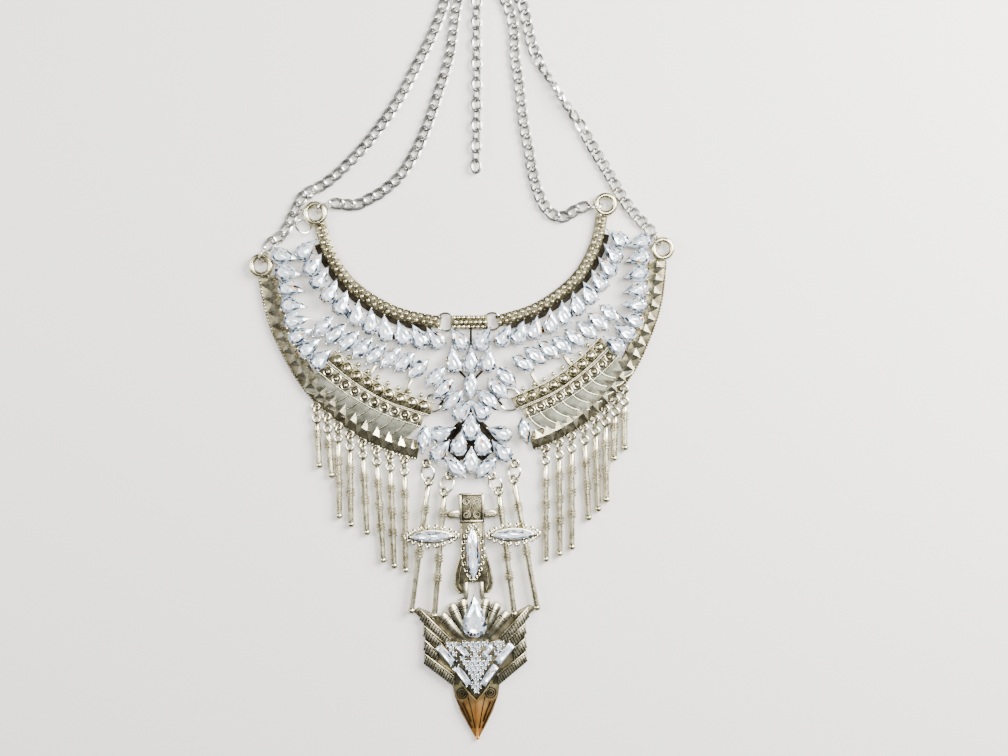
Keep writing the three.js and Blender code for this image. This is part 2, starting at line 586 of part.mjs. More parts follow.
function centerFrame() {
  const { x, y, length, width, seat } = CENTER_BAR;
  const parts = [toSolid(block(x, y, 0, length, width, PLATE))];
  const spine = { from: [0, CENTER_SPINE.top], to: [0, CENTER_SPINE.bottom] };
  for (const { from, to } of [spine, ...CENTER_STRUTS.flatMap(bothSides)]) {
    parts.push(toSolid(strut(from, to, RAIL)));
  }
  for (const side of [-1, 1]) {
    for (const loop of FAN_LOOPS) parts.push(toSolid(eye(side * loop.x, loop.y, LOOP_HEIGHT)));
    const arm = { bottom: SEAT.ceiling, top: RAIL.top, width: 2 * (SEAT.hole + SEAT.wall) };
    const { centerX, centerY, armX, armY } = LOWER_SEAT;
    parts.push(toSolid(strut([side * armX, armY], [side * centerX, centerY], arm)));
  }
  const holes = [-1, 1].flatMap((side) => FAN_LOOPS.map((loop) => {
    const hole = plate(ringPoints(EYE.hole, 6), -1, LOOP_HEIGHT + 2);
    return toSolid(hole.translate(side * loop.x, loop.y, 0));
  }));
  let whole = holes.reduce((solid, hole) => solid.subtract(hole), joined(parts));
  for (const side of [-1, 1]) {
    const end = { x: x + side * (seat + 0.6), y, width: 3.4, depth: width + 1, turn: 0 };
    whole = withRingSeat(whole, x + side * seat, y, end);
    const { centerX, centerY } = LOWER_SEAT;
    const clear = { x: side * centerX, y: centerY, width: 2 * SEAT.hole, depth: 2, turn: 0 };
    whole = withRingSeat(whole, side * centerX, centerY, clear);
  }
  return whole;
}

function centerStones() {
  const parts = CENTER_STONES.flatMap(({ cut, x, y, turn, pair, foot }) => {
    const stones = [toSolid(makers[cut](x, y, turn, foot))];
    if (pair) stones.push(toSolid(makers[cut](-x, y, 180 - turn, foot)));
    return stones;
  });
  for (const { from, to } of [CENTER_WIRE, ...CENTER_WIRES.flatMap(bothSides)]) {
    parts.push(galleryWire(new THREE.LineCurve3(flat(from), flat(to)), 1));
  }
  return joined(parts);
}

// A turned bar hanging down -Y from its eye, revolved about its own axis
function turnedBar(length, mouldings) {
  const { rod, moulding, half, ball: end, rim, neck } = DROP;
  const profile = [[0, -rim], [neck, -rim], [neck, -EYE.outer - 0.1], [rod, -EYE.outer - 0.6]];
  for (const at of mouldings) profile.push([rod, half - at], [moulding, -at], [rod, -at - half]);
  profile.push([rod, 0.7 * end - length], [end, -length], [0, -length - end]);
  return new THREE.LatheGeometry(profile.map(([r, y]) => new THREE.Vector2(r, y)), 6);
}

function drop(kind) {
  const { length, mouldings } = DROP_KINDS[kind];
  const parts = [
    toSolid(turnedBar(length, mouldings)),
    toSolid(eye(0, 0, 0)),
    toSolid(ringBetween([0, DROP.rim], [0, DROP.hang], WIRE, RING_TILT, 0)),
  ];
  return joined(parts);
}

// Pendant: plaque, body with petals, plates, bars, arrow and tip soldered into one
function markedPlaque() {
  const { width, height, bottom, top, rim, rise } = PLAQUE;
  const parts = [toSolid(block(0, 0, bottom, width, height, top - bottom))];
  const frame = toSolid(block(0, 0, top - 0.2, width, height, rise + 0.2));
  const window = toSolid(block(0, 0, top - 1, width - 2 * rim, height - 2 * rim, 3));
  parts.push(frame.subtract(window));
  const ear = { ...EAR, height: EAR.top - EAR.bottom };
  for (const side of [-1, 1]) {
    parts.push(toSolid(block(side * ear.x, ear.y, ear.bottom, ear.length, 2 * ear.radius, ear.height)));
    const cap = plate(ringPoints(ear.radius, 8), ear.bottom, ear.top);
    parts.push(toSolid(cap.translate(side * (ear.x + ear.length / 2), ear.y, 0)));
  }
  return joined(parts);
}

function pendantBody() {
  const { x, top, bottom } = BODY_HOLE;
  const hole = [[-x, bottom], [x, bottom], [x, top], [-x, top]];
  return toSolid(plate(mirrored(BODY_OUTLINE), BODY.bottom, BODY.top, hole));
}

// The outline of a marquise plate with a row of beads along both edges
function beadedOutline() {
  const { half, width, beads, bead } = WING_PLATE;
  const upper = [[half, 0.5]];
  for (let i = 0; i < beads; i += 1) {
    const x = half * (0.78 - (1.56 * i) / (beads - 1));
    const y = width * (1 - 0.55 * (x / half) ** 2);
    upper.push([x + bead, y - 0.5], [x, y + 0.5]);
  }
  upper.push([-0.78 * half - bead, 0.9], [-half, 0.5]);
  return [...upper, ...upper.map(([x, y]) => [x, -y]).reverse()];
}

function sidePlates() {
  const parts = [];
  const { x, y, inner, width, bottom, top } = CROSS_BAR;
  for (const side of [-1, 1]) {
    parts.push(toSolid(block((side * (x + inner)) / 2, y, bottom, x - inner, width, top - bottom)));
    const lens = plate(beadedOutline(), WING_PLATE.bottom, WING_PLATE.top);
    parts.push(toSolid(lens.translate(side * WING_PLATE.x, y, 0)));
  }
  return parts;
}

function pendantBars() {
  return [-1, 1].flatMap((side) => BARS.flatMap(({ x, y, endX, endY, mouldings }) => {
    const length = Math.hypot(endX - x, endY - y);
    const turn = side * Math.atan2(endX - x, y - endY);
    const bar = turnedBar(length, mouldings).rotateZ(turn).translate(side * x, y, LOOP_HEIGHT);
    return [toSolid(bar), toSolid(eye(side * x, y, LOOP_HEIGHT))];
  }));
}

function rays() {
  return [-1, 1].flatMap((side) => RAYS.map(({ x, y }) => {
    const length = Math.hypot(x, y - RAY.originY);
    const half = RAY.width / 2;
    const right = [[RAY.inner / 2, RAY.start], [half, length - half], [0.7 * half, length - 0.3 * half]];
    const outline = mirrored([...right, [0, length]]);
    const ray = plate(outline, RAY.bottom, RAY.top).rotateZ(-side * Math.atan2(x, y - RAY.originY));
    return toSolid(ray.translate(0, RAY.originY, 0));
  }));
}

function arrow() {
  const base = toSolid(plate(mirrored(ARROW_OUTLINE), ARROW.bottom, ARROW.top));
  const parts = [base, ...rays()];
  for (const { from, to } of FEATHERS.flatMap(bothSides)) {
    parts.push(toSolid(strut(from, to, { bottom: ARROW.bottom, top: FEATHER.top, width: FEATHER.width })));
  }
  const { y, width, tip, waist, bottom, edge, ridge, bead } = BEAK;
  const corners = [-1, 1].flatMap((side) => [
    new THREE.Vector3((side * width) / 2, y, bottom),
    new THREE.Vector3((side * width) / 2, y, edge),
  ]);
  const spine = [
    new THREE.Vector3(0, waist, ridge),
    new THREE.Vector3(0, tip, bottom),
    new THREE.Vector3(0, tip, edge),
  ];
  parts.push(toSolid(new ConvexGeometry([...corners, ...spine])));
  parts.push(toSolid(new THREE.OctahedronGeometry(bead).translate(0, tip, bead)));
  return joined(parts);
}

function pendantFrame() {
  const whole = joined([markedPlaque(), pendantBody(), ...sidePlates(), ...pendantBars(), arrow()]);
  const holes = [-1, 1].flatMap((side) => BARS.map(({ x, y }) => {
    const hole = plate(ringPoints(EYE.hole, 6), -1, LOOP_HEIGHT + 2);
    return toSolid(hole.translate(side * x, y, 0));
  }));
  return holes.reduce((solid, hole) => solid.subtract(hole), whole);
}

function barStone(side) {
  const outline = navetteOutline(BAR_STONE.width, BAR_STONE.length);
  return toSolid(largeStone(outline, side * WING_PLATE.x, CROSS_BAR.y, 0, WING_PLATE.top + GAP, BAR_STONE));
}

function paveShield() {
  const parts = [toSolid(plate(mirrored(PAVE_OUTLINE), PAVE.bottom, PAVE.top))];
  for (const { x, y, turn, length, width } of BAGUETTES) {
    const outline = baguetteOutline(width, length);
    parts.push(toSolid(cutStone(outline, x, y, turn, PAVE.top - 0.2, PAVE.rise)));
    parts.push(toSolid(cutStone(outline, -x, y, -turn, PAVE.top - 0.2, PAVE.rise)));
  }
  return joined(parts);
}

// Meshes and their places
const group = new THREE.Group();

function addMesh(parent, name, solid, material) {
  const mesh = new THREE.Mesh(toGeometry(solid), material);
  mesh.name = name;
  parent.add(mesh);
  return mesh;
}

const wings = { left: LEFT_WING, right: RIGHT_WING };
const wingGroups = {};
for (const [side, { x, y, turn, scale }] of Object.entries(wings)) {
  const wing = new THREE.Group();
  wing.position.set(x, y, 0);
  wing.rotation.z = radians(turn);
  wing.scale.set(side === "left" ? scale : -scale, scale, 1);
  for (const [name, [solid, material]] of Object.entries(wingSolids)) {
    addMesh(wing, `${name}_${side}`, solid, material);
  }
  group.add(wing);
  wing.updateMatrixWorld();
  wingGroups[side] = wing;
}
const onWing = (side, x, y) => {
  const place = new THREE.Vector3(x, y, 0).applyMatrix4(wingGroups[side].matrixWorld);
  return [place.x, place.y];
};

const center = new THREE.Group();
center.position.set(CENTER.x, CENTER.y, 0);
addMesh(center, "center_frame", centerFrame(), silver);
addMesh(center, "center_stones", centerStones(), crystal);
group.add(center);

const pendant = new THREE.Group();
pendant.position.set(PENDANT.x, PENDANT.y, 0);
pendant.rotation.z = radians(PENDANT.turn);
addMesh(pendant, "pendant_frame", pendantFrame(), silver);
const plateStone = largeStone(
  navetteOutline(PLATE_STONE.width, PLATE_STONE.length), 0, PLATE_STONE.y, 90, BODY.top + GAP, PLATE_STONE,
);
addMesh(pendant, "plate_stone", toSolid(plateStone), crystal);
addMesh(pendant, "bar_stone_left", barStone(-1), crystal);
addMesh(pendant, "bar_stone_right", barStone(1), crystal);
const arrowPearLength = ARROW_PEAR.tip - ARROW_PEAR.bottom;
const arrowPearY = ARROW_PEAR.bottom + ARROW_PEAR.width / 2;
const arrowPear = largeStone(
  pearOutline(ARROW_PEAR.width, arrowPearLength), 0, arrowPearY, 270, RAY.top + GAP, ARROW_PEAR,
);
addMesh(pendant, "pendant_pear_stone", toSolid(arrowPear), crystal);
addMesh(pendant, "pendant_pave", paveShield(), crystal);
group.add(pendant);
pendant.updateMatrixWorld();
const onPendant = (x, y) => {
  const place = new THREE.Vector3(x, y, 0).applyMatrix4(pendant.matrixWorld);
  return [place.x, place.y];
};

// Drops hang straight down from the wings' eyes
for (const side of ["left", "right"]) {
  DROPS.forEach(({ kind, leanLeft, leanRight }, i) => {
    const [x, y] = onWing(side, ...dropLoops[i]);
    const lean = radians(side === "left" ? leanLeft : leanRight);
    const mesh = addMesh(group, `drop_${side}_${i + 1}`, drop(kind), silver);
    mesh.position.set(x + DROP.hang * Math.sin(lean), y - DROP.hang * Math.cos(lean), DROP.axis);
    mesh.rotation.z = lean;
  });
}

// Rings that link the parts
function addRing(name, from, to, wire, tilt, height, material) {
  addMesh(group, name, toSolid(ringBetween(from, to, wire, tilt, height)), material);
}

for (const [side, sign] of [["left", -1], ["right", 1]]) {
  const barSeat = [CENTER.x + CENTER_BAR.x + sign * CENTER_BAR.seat, CENTER.y + CENTER_BAR.y];
  const wingSeat = onWing(side, COLLAR_SEAT.x, COLLAR_SEAT.y);
  addRing(`collar_link_${side}`, wingSeat, barSeat, LINK_WIRE, 0, LINK_HEIGHT, brightSilver);
  const lowerWing = onWing(side, LOWER_SEAT.wingX, LOWER_SEAT.wingY);
  const lowerCenter = [CENTER.x + sign * LOWER_SEAT.centerX, CENTER.y + LOWER_SEAT.centerY];
  addRing(`lower_link_${side}`, lowerWing, lowerCenter, LINK_WIRE, 0, LINK_HEIGHT, brightSilver);
  FAN_LOOPS.forEach((loop, i) => {
    const from = [CENTER.x + sign * loop.x, CENTER.y + loop.y];
    const to = onPendant(sign * BARS[i].x, BARS[i].y);
    addRing(`pendant_ring_${side}_${i + 1}`, from, to, WIRE, RING_TILT, LOOP_HEIGHT, brightSilver);
  });
}

for (const [side, sign] of [["left", "Left"], ["right", "Right"]]) {
  for (const row of ["outer", "inner"]) {
    const [x, y] = onWing(side, ...END_RING_PLACES[row]);
    const turn = radians(CHAIN_RING_TURNS[`${row}${sign}`]);
    const reach = (distance) => [x + distance * Math.cos(turn), y + distance * Math.sin(turn)];
    const { radius, wire, offset, tilt } = CHAIN_RING;
    const [start, end] = [reach(offset - radius), reach(offset + radius)];
    addRing(`chain_ring_${row}_${side}`, start, end, wire, tilt, END_RING.height, brightSilver);
  }
}

// A route whose back end keeps its distance from an end ring, and whose other points follow in proportion
function tied(route, ring, [dx, dy]) {
  const back = route.reduce((far, point) => (point[1] > far[1] ? point : far));
  const front = route[0] === back ? route[route.length - 1] : route[0];
  const move = [ring.x + dx - back[0], ring.y + dy - back[1]];
  return route.map(([x, y]) => {
    const share = (y - front[1]) / (back[1] - front[1]);
    return [x + share * move[0], y + share * move[1]];
  });
}

// Chains
function addChain(name, route, { width, thickness }) {
  const curve = curveThrough(route);
  const steps = Math.ceil(curve.getLength() / (3 * CHAIN.width));
  const profile = ringPoints(0.5, CHAIN.sides).map(([a, b]) => [a * thickness * 1.08, b * width * 1.08]);
  const tube = sweep(curve, profile, steps).translate(0, 0, thickness / 2);
  addMesh(group, name, toSolid(tube), chainSteel);
}

addChain("chain_outer_left", tied(OUTER_LEFT_ROUTE, LEFT_END_RING, CHAIN_ENDS.outerLeft), CHAIN);
addChain("chain_inner_left", tied(INNER_LEFT_ROUTE, LEFT_END_RING, CHAIN_ENDS.innerLeft), CHAIN);
addChain("chain_inner_right", tied(INNER_RIGHT_ROUTE, RIGHT_END_RING, CHAIN_ENDS.innerRight), CHAIN);
addChain("chain_outer_right", tied(OUTER_RIGHT_ROUTE, RIGHT_END_RING, CHAIN_ENDS.outerRight), CHAIN);
addChain("extension_chain", tied(EXTENSION_ROUTE, RIGHT_END_RING, CHAIN_ENDS.extension), EXTENSION);

for (const [name, { x, y }] of [["end_ring_left", LEFT_END_RING], ["end_ring_right", RIGHT_END_RING]]) {
  const ring = new THREE.TorusGeometry(END_RINGS.radius, END_RINGS.wire, 5, 10);
  addMesh(group, name, toSolid(ring.translate(x, y, END_RINGS.height)), brightSilver);
}

// A plain closed hook between the end rings, with a slot at each end that a ring runs through
function clasp() {
  const [dx, dy] = [RIGHT_END_RING.x - LEFT_END_RING.x, RIGHT_END_RING.y - LEFT_END_RING.y];
  const reach = Math.hypot(dx, dy) / 2 - END_RINGS.radius;
  const length = 2 * (reach + END_RINGS.wire + GAP + CLASP.play / 2 + CLASP.bar);
  const body = toSolid(block(0, 0, 0, length, CLASP.width, CLASP.thickness));
  const height = 2 * (END_RINGS.wire + GAP);
  const slots = [-1, 1].map((side) => {
    const bottom = END_RINGS.height - height / 2;
    return toSolid(block(side * reach, 0, bottom, height + CLASP.play, CLASP.width + 1, height));
  });
  const solid = slots.reduce((whole, slot) => whole.subtract(slot), body);
  const mesh = addMesh(group, "clasp", solid, brightSilver);
  mesh.position.set((LEFT_END_RING.x + RIGHT_END_RING.x) / 2, (LEFT_END_RING.y + RIGHT_END_RING.y) / 2, 0);
  mesh.rotation.z = Math.atan2(dy, dx);
}
clasp();

// The origin lies on the surface, under the middle of the whole
const box = new THREE.Box3().setFromObject(group, true);
const middle = box.getCenter(new THREE.Vector3());
group.position.set(-middle.x, -middle.y, 0);

export default group;
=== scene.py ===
"""A bib necklace in antique silver and clear crystal, lying flat: shapes, finishes, light and camera."""

import bisect
import logging
import math
import random
from dataclasses import dataclass, field, replace
from enum import Enum
from typing import Iterable, Sequence

import bmesh
import bpy
from mathutils import Matrix, Vector


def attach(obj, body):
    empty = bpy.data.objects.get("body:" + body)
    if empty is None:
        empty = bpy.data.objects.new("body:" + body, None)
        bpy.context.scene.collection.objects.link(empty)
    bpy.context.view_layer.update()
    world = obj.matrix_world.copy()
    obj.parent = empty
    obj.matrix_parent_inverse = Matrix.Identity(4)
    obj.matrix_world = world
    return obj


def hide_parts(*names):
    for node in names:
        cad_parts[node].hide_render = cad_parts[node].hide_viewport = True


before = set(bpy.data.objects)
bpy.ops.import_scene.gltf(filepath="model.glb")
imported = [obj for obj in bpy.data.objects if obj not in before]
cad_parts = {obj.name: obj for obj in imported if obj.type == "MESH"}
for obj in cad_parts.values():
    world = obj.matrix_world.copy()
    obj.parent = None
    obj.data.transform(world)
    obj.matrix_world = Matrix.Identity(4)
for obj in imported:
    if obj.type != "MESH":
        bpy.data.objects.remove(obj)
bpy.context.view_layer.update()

LOG = logging.getLogger("necklace")
Point = tuple[float, float]
Ring = list[bmesh.types.BMVert]
BODY = "root"
MM = 0.001
SEED = 11

# The measured places are taken from the middle of the centre piece, and this moves them into the frame
SHIFT = (4.115, -15.306)

# Sizes in mm of the two commonest stones and of the round eyes
PEAR_WIDTH = 6.8
PEAR_LENGTH = 10.6
NAVETTE_SIZE = (6.1, 11.0)
EYE_RADIUS = 1.42
EYE_WIRE = 0.6

# Outlines of the stones: fullness of a navette's flanks, cut of a baguette's corners, taper of a pear
NAVETTE_BULGE = 1.6
BAGUETTE_CORNER = 0.53
PEAR_TAPER = 1.5

# Painted light on the facets: where painted orange glints start, the least upward normal of a table, and
# the ranges of painted highlight on tables and painted reflection on flanks
PAINTED_GLINT_START = 0.975
TABLE_NORMAL = 0.9
TABLE_PAINTED_HIGHLIGHT = 0.4
TABLE_HIGHLIGHT_RANGE = 0.52
FLANK_PAINTED_REFLECTION_RANGE = 0.7

# Photograph's scale and size, for the camera
MM_PER_PIXEL = 0.4
PHOTO_WIDTH = 1008
VIEW_CENTER = (12.8, 0.0)
LENS_MM = 50.0
SENSOR_MM = 36.0


class Side(Enum):
    """The two halves of the necklace, as they lie in the photograph."""

    LEFT = "left"
    RIGHT = "right"


class Slot(Enum):
    """The record's material slots."""

    ANTIQUE = "antique_silver"
    BRIGHT = "bright_silver"
    CHAIN = "chain_steel"
    CRYSTAL = "crystal"


class Cut(Enum):
    """Outlines of the stones, with the long axis on X and a pear's tip on -X."""

    PEAR = "pear"
    NAVETTE = "navette"
    BAGUETTE = "baguette"
    ROUND = "round"

    def point(self, share: float, width: float, length: float) -> Point:
        """Find a point of the outline.

        Args:
            share: How far round the outline, from 0 to 1.
            width: Width of the stone in mm.
            length: Length of the stone in mm.

        Returns:
            The point's x and y in mm.
        """
        share %= 1.0
        half = width / 2
        angle = 2 * math.pi * share
        if self is Cut.NAVETTE:
            bulge = math.copysign(abs(math.sin(angle)) ** NAVETTE_BULGE, math.sin(angle))
            return length / 2 * math.cos(angle), half * bulge
        if self is Cut.ROUND:
            return half * math.cos(angle), half * math.sin(angle)
        if self is Cut.BAGUETTE:
            across, along = abs(math.sin(angle)), abs(math.cos(angle))
            reach = max(along, across, BAGUETTE_CORNER * (along + across))
            return length / 2 * math.cos(angle) / reach, half * math.sin(angle) / reach
        if share < 0.5:
            return half * math.sin(angle), -half * math.cos(angle)
        tip = length - half
        back = 1 - abs(4 * share - 3)
        return -tip * back, math.copysign(half * (1 - back**PEAR_TAPER), 0.75 - share)

    def claws(self) -> tuple[float, ...]:
        """Give the shares of the outline where the claws stand."""
        if self is Cut.PEAR:
            return 0.12, 0.38, 0.58, 0.75, 0.92
        if self is Cut.NAVETTE:
            return 0.0, 0.17, 0.33, 0.5, 0.67, 0.83
        return 0.125, 0.375, 0.625, 0.875


# Colour and nodes
def linear(code: str) -> tuple[float, float, float, float]:
    """Turn an sRGB hex colour to linear.

    Args:
        code: The colour, such as #c9c4ad.

    Returns:
        Red, green, blue and full opacity.
    """
    parts = [int(code[i : i + 2], 16) / 255 for i in (1, 3, 5)]
    red, green, blue = (p / 12.92 if p <= 0.04045 else ((p + 0.055) / 1.055) ** 2.4 for p in parts)
    return red, green, blue, 1.0


def add_node(
    tree: bpy.types.NodeTree, kind: str, settings: dict | None = None, links: dict | None = None
) -> bpy.types.Node:
    """Add a node to a material or world.

    Args:
        tree: The node tree.
        kind: The node's type name.
        settings: Values by property or input name. "stops" holds a ramp's (place, hex colour) pairs.
        links: Output sockets by input name or number.

    Returns:
        The new node.
    """
    node = tree.nodes.new(kind)
    for name, value in (settings or {}).items():
        if name == "stops":
            elements = node.color_ramp.elements
            elements[0].position = value[0][0]
            elements[1].position = value[-1][0]
            for place, _ in value[1:-1]:
                elements.new(place)
            for element, (_, code) in zip(elements, value):
                element.color = linear(code)
        elif isinstance(name, str) and hasattr(node, name):
            setattr(node, name, value)
        else:
            node.inputs[name].default_value = value
    for name, socket in (links or {}).items():
        tree.links.new(socket, node.inputs[name])
    return node


def new_material(name: str) -> tuple[bpy.types.Material, bpy.types.NodeTree]:
    """Start an empty node material.

    Args:
        name: The material's name.

    Returns:
        The material and its node tree.
    """
    material = bpy.data.materials.new(name)
    material.use_nodes = True
    material.node_tree.nodes.clear()
    return material, material.node_tree


def add_ramp(
    tree: bpy.types.NodeTree, stops: Sequence[tuple[float, str]], share: bpy.types.NodeSocket
) -> bpy.types.NodeSocket:
    """Add a colour ramp.

    Args:
        tree: The node tree.
        stops: Places from 0 to 1 with their hex colours.
        share: The socket that picks the place.

    Returns:
        The colour socket.
    """
    return add_node(tree, "ShaderNodeValToRGB", {"stops": stops}, {"Fac": share}).outputs["Color"]


def add_surface(tree: bpy.types.NodeTree, settings: dict, links: dict) -> None:
    """Add the surface shader, with its settings and links by socket name, and the material's output."""
    shader = add_node(tree, "ShaderNodeBsdfPrincipled", settings, links)
    add_node(tree, "ShaderNodeOutputMaterial", links={"Surface": shader.outputs["BSDF"]})


def show(name: str, data: bpy.types.ID) -> bpy.types.Object:
    """Put an object with this data in the scene, at the origin."""
    thing = bpy.data.objects.new(name, data)
    bpy.context.scene.collection.objects.link(thing)
    return thing


@dataclass(frozen=True)
class Metal:
    """A metal with a bright face, a greyer tone in patches, and a dark colour that ambient occlusion paints
    in.

    In the recesses it is oxide, which an antique finish leaves when the raised faces are buffed bright
    again; near other parts and the floor it is painted shade.
    """

    name: str
    slot: Slot
    face: str
    shade: str
    recess_oxide_and_shade: str
    roughness: float
    grain_mm: float = 0.35
    dent_mm: float = 0.012
    occlusion_mm: float = 1.1
    tip: str | None = None
    tip_start: float = 0.0
    tip_end: float = 1.0

    def make(self) -> bpy.types.Material:
        """Build the material."""
        material, tree = new_material(self.name)
        where = add_node(tree, "ShaderNodeTexCoord")
        place = add_node(tree, "ShaderNodeMapping", links={"Vector": where.outputs["Object"]})
        patches = add_node(
            tree,
            "ShaderNodeTexNoise",
            {"Scale": 1 / (9 * self.grain_mm * MM), "Detail": 5.0, "Roughness": 0.6},
            {"Vector": place.outputs["Vector"]},
        )
        colour = add_ramp(tree, [(0.38, self.shade), (0.6, self.face)], patches.outputs["Fac"])
        if self.tip:
            colour = self._warmed(tree, where.outputs["Object"], patches.outputs["Fac"], colour)
        # Ambient occlusion mixes in the recess colour: oxide in the casting's own hollows, and painted
        # shade where neighbouring parts or the floor come near
        reach = {"samples": 6, "Distance": self.occlusion_mm * MM}
        oxide_and_shade_occlusion = add_node(tree, "ShaderNodeAmbientOcclusion", reach)
        open_range = {"From Min": 0.32, "From Max": 0.86}
        depth = add_node(tree, "ShaderNodeMapRange", open_range, {"Value": oxide_and_shade_occlusion.outputs["AO"]})
        mix = add_node(
            tree,
            "ShaderNodeMix",
            {"data_type": "RGBA", 6: linear(self.recess_oxide_and_shade)},
            {0: depth.outputs["Result"], 7: colour},
        )
        grain = add_node(
            tree,
            "ShaderNodeTexNoise",
            {"Scale": 1 / (self.grain_mm * MM), "Detail": 3.0},
            {"Vector": place.outputs["Vector"]},
        )
        rough = add_node(
            tree,
            "ShaderNodeMapRange",
            {"To Min": self.roughness - 0.07, "To Max": self.roughness + 0.1},
            {"Value": patches.outputs["Fac"]},
        )
        bump = add_node(
            tree,
            "ShaderNodeBump",
            {"Strength": 0.5, "Distance": self.dent_mm * MM},
            {"Height": grain.outputs["Fac"]},
        )
        add_surface(
            tree,
            {"Metallic": 1.0},
            {
                "Base Color": mix.outputs[2],
                "Roughness": rough.outputs["Result"],
                "Normal": bump.outputs["Normal"],
            },
        )
        return material

    def _warmed(
        self,
        tree: bpy.types.NodeTree,
        where: bpy.types.NodeSocket,
        patches: bpy.types.NodeSocket,
        colour: bpy.types.NodeSocket,
    ) -> bpy.types.NodeSocket:
        """Blend the face to the warm plating of the tip.

        Args:
            tree: The material's node tree.
            where: Object coordinates.
            patches: The noise that roughens the edge of the plating.
            colour: The silver colour.

        Returns:
            The colour socket of the blend.
        """
        axes = add_node(tree, "ShaderNodeSeparateXYZ", links={"Vector": where})
        along = add_node(
            tree,
            "ShaderNodeMapRange",
            {"From Min": self.tip_start * MM, "From Max": self.tip_end * MM},
            {"Value": axes.outputs["Y"]},
        )
        uneven = add_node(tree, "ShaderNodeMapRange", {"To Min": 0.7, "To Max": 1.3}, {"Value": patches})
        share = add_node(
            tree,
            "ShaderNodeMath",
            {"operation": "MULTIPLY", "use_clamp": True},
            {0: along.outputs["Result"], 1: uneven.outputs["Result"]},
        )
        mix = add_node(
            tree,
            "ShaderNodeMix",
            {"data_type": "RGBA", 7: linear(self.tip)},
            {0: share.outputs["Value"], 6: colour},
        )
        return mix.outputs[2]


@dataclass(frozen=True)
class Crystal:
    """Clear machine-cut glass over a silver foil.

    Each facet's shade is painted on and stands in for the light that the foil sends back: painted
    reflections, most pale and bluish, some dark, with tables painted brighter as a painted highlight and a
    few painted orange glints.
    """

    name: str
    slot: Slot
    stops: tuple[tuple[float, str], ...]

    def make(self) -> bpy.types.Material:
        """Build the material."""
        material, tree = new_material(self.name)
        facet = add_node(tree, "ShaderNodeAttribute", {"attribute_name": "facet"})
        shade = add_ramp(tree, self.stops, facet.outputs["Fac"])
        glass = {"Metallic": 0.35, "Roughness": 0.06, "IOR": 1.54}
        coat = {"Coat Weight": 1.0, "Coat Roughness": 0.02}
        add_surface(tree, glass | coat, {"Base Color": shade})
        return material


# Cast zinc alloy, silver plated, oxidised and buffed: warm pale faces, brown-black recesses of oxide and
# painted shade
ANTIQUE_SILVER = Metal(
    "antique_silver_casting", Slot.ANTIQUE, "#ddd5b6", "#aca380", "#17140d", roughness=0.25, occlusion_mm=1.0
)
# Fields that the buffing wheel hardly reaches stay olive-brown
DARK_OXIDE = Metal(
    "oxidised_field", Slot.ANTIQUE, "#857e64", "#554f3d", "#110f0a", roughness=0.36, occlusion_mm=0.8
)
# Pyramids, drops and turned bars are buffed hardest, with light oxide and little painted shade down to
# their feet
BUFFED_SILVER = Metal(
    "buffed_silver_facets", Slot.ANTIQUE, "#e3dbbd", "#b5ac8a", "#2a251a", roughness=0.26, occlusion_mm=0.35
)
# Near-black metal: oxide on rails and struts and in engraved lines, and painted shade where strips and
# plates fill the dark gaps between stones
BLACK_OXIDE_AND_SHADE = Metal("blackened_oxide_and_painted_shade", Slot.ANTIQUE, "#2c2820", "#16130e", "#070605", roughness=0.5)
# The scales are brushed and left duller, so they look grey-olive
BRUSHED_SILVER = Metal(
    "brushed_silver_scale", Slot.ANTIQUE, "#7c7c6e", "#5a5a4d", "#15120d", roughness=0.44, occlusion_mm=0.8
)
# Drawn wire, bright plated: clean and light
BRIGHT_WIRE = Metal(
    "bright_plated_wire", Slot.BRIGHT, "#f4f1e6", "#d6d2c4", "#4a463a", roughness=0.22, occlusion_mm=0.4
)
# Rhodium plated chain: cooler and greyer than the castings
CHAIN_WIRE = Metal(
    "rhodium_chain_wire", Slot.CHAIN, "#f0eee8", "#c9c6bf", "#4a4844", roughness=0.27, occlusion_mm=0.4
)
# The beak is the same casting with a copper-gold plating that starts half way down
TIP_METAL = Metal(
    "copper_tipped_casting",
    Slot.ANTIQUE,
    "#b9ad80",
    "#7d7350",
    "#1a140a",
    roughness=0.34,
    tip="#ffb660",
    tip_start=-140.0,
    tip_end=-149.0,
)
# Ramp of painted facet light, from painted dark reflections to painted white highlights, with painted
# orange glints at the top
CUT_CRYSTAL = Crystal(
    "cut_crystal_painted_facet_light",
    Slot.CRYSTAL,
    (
        (0.0, "#161c23"),
        (0.13, "#475563"),
        (0.27, "#909ca8"),
        (0.46, "#c8d3dc"),
        (0.7, "#f2f7fa"),
        (0.9, "#ffffff"),
        (0.955, "#ffffff"),
        (0.975, "#e2a76b"),
    ),
)
MATERIALS: dict[str, bpy.types.Material] = {}


def material_of(finish: Metal | Crystal) -> bpy.types.Material:
    """Give the finish's material, made at its first use."""
    if finish.name not in MATERIALS:
        MATERIALS[finish.name] = finish.make()
    return MATERIALS[finish.name]


# Lines on the surface
@dataclass(frozen=True)
class Station:
    """A place on a line, with the line's direction there."""

    point: Vector
    tangent: Vector

    @property
    def side(self) -> Vector:
        """Direction to the right of travel."""
        return Vector((self.tangent.y, -self.tangent.x, 0.0))

    @property
    def turn(self) -> float:
        """Angle of travel in degrees."""
        return math.degrees(math.atan2(self.tangent.y, self.tangent.x))

    def matrix(self, right: float = 0.0, up: float = 0.0) -> Matrix:
        """Give a place beside the line, with X along it.

        Args:
            right: Distance to the right of travel in mm.
            up: Height in mm.

        Returns:
            The matrix of that place.
        """
        spot = self.point + self.side * right
        return at(spot.x, spot.y, up, self.turn)


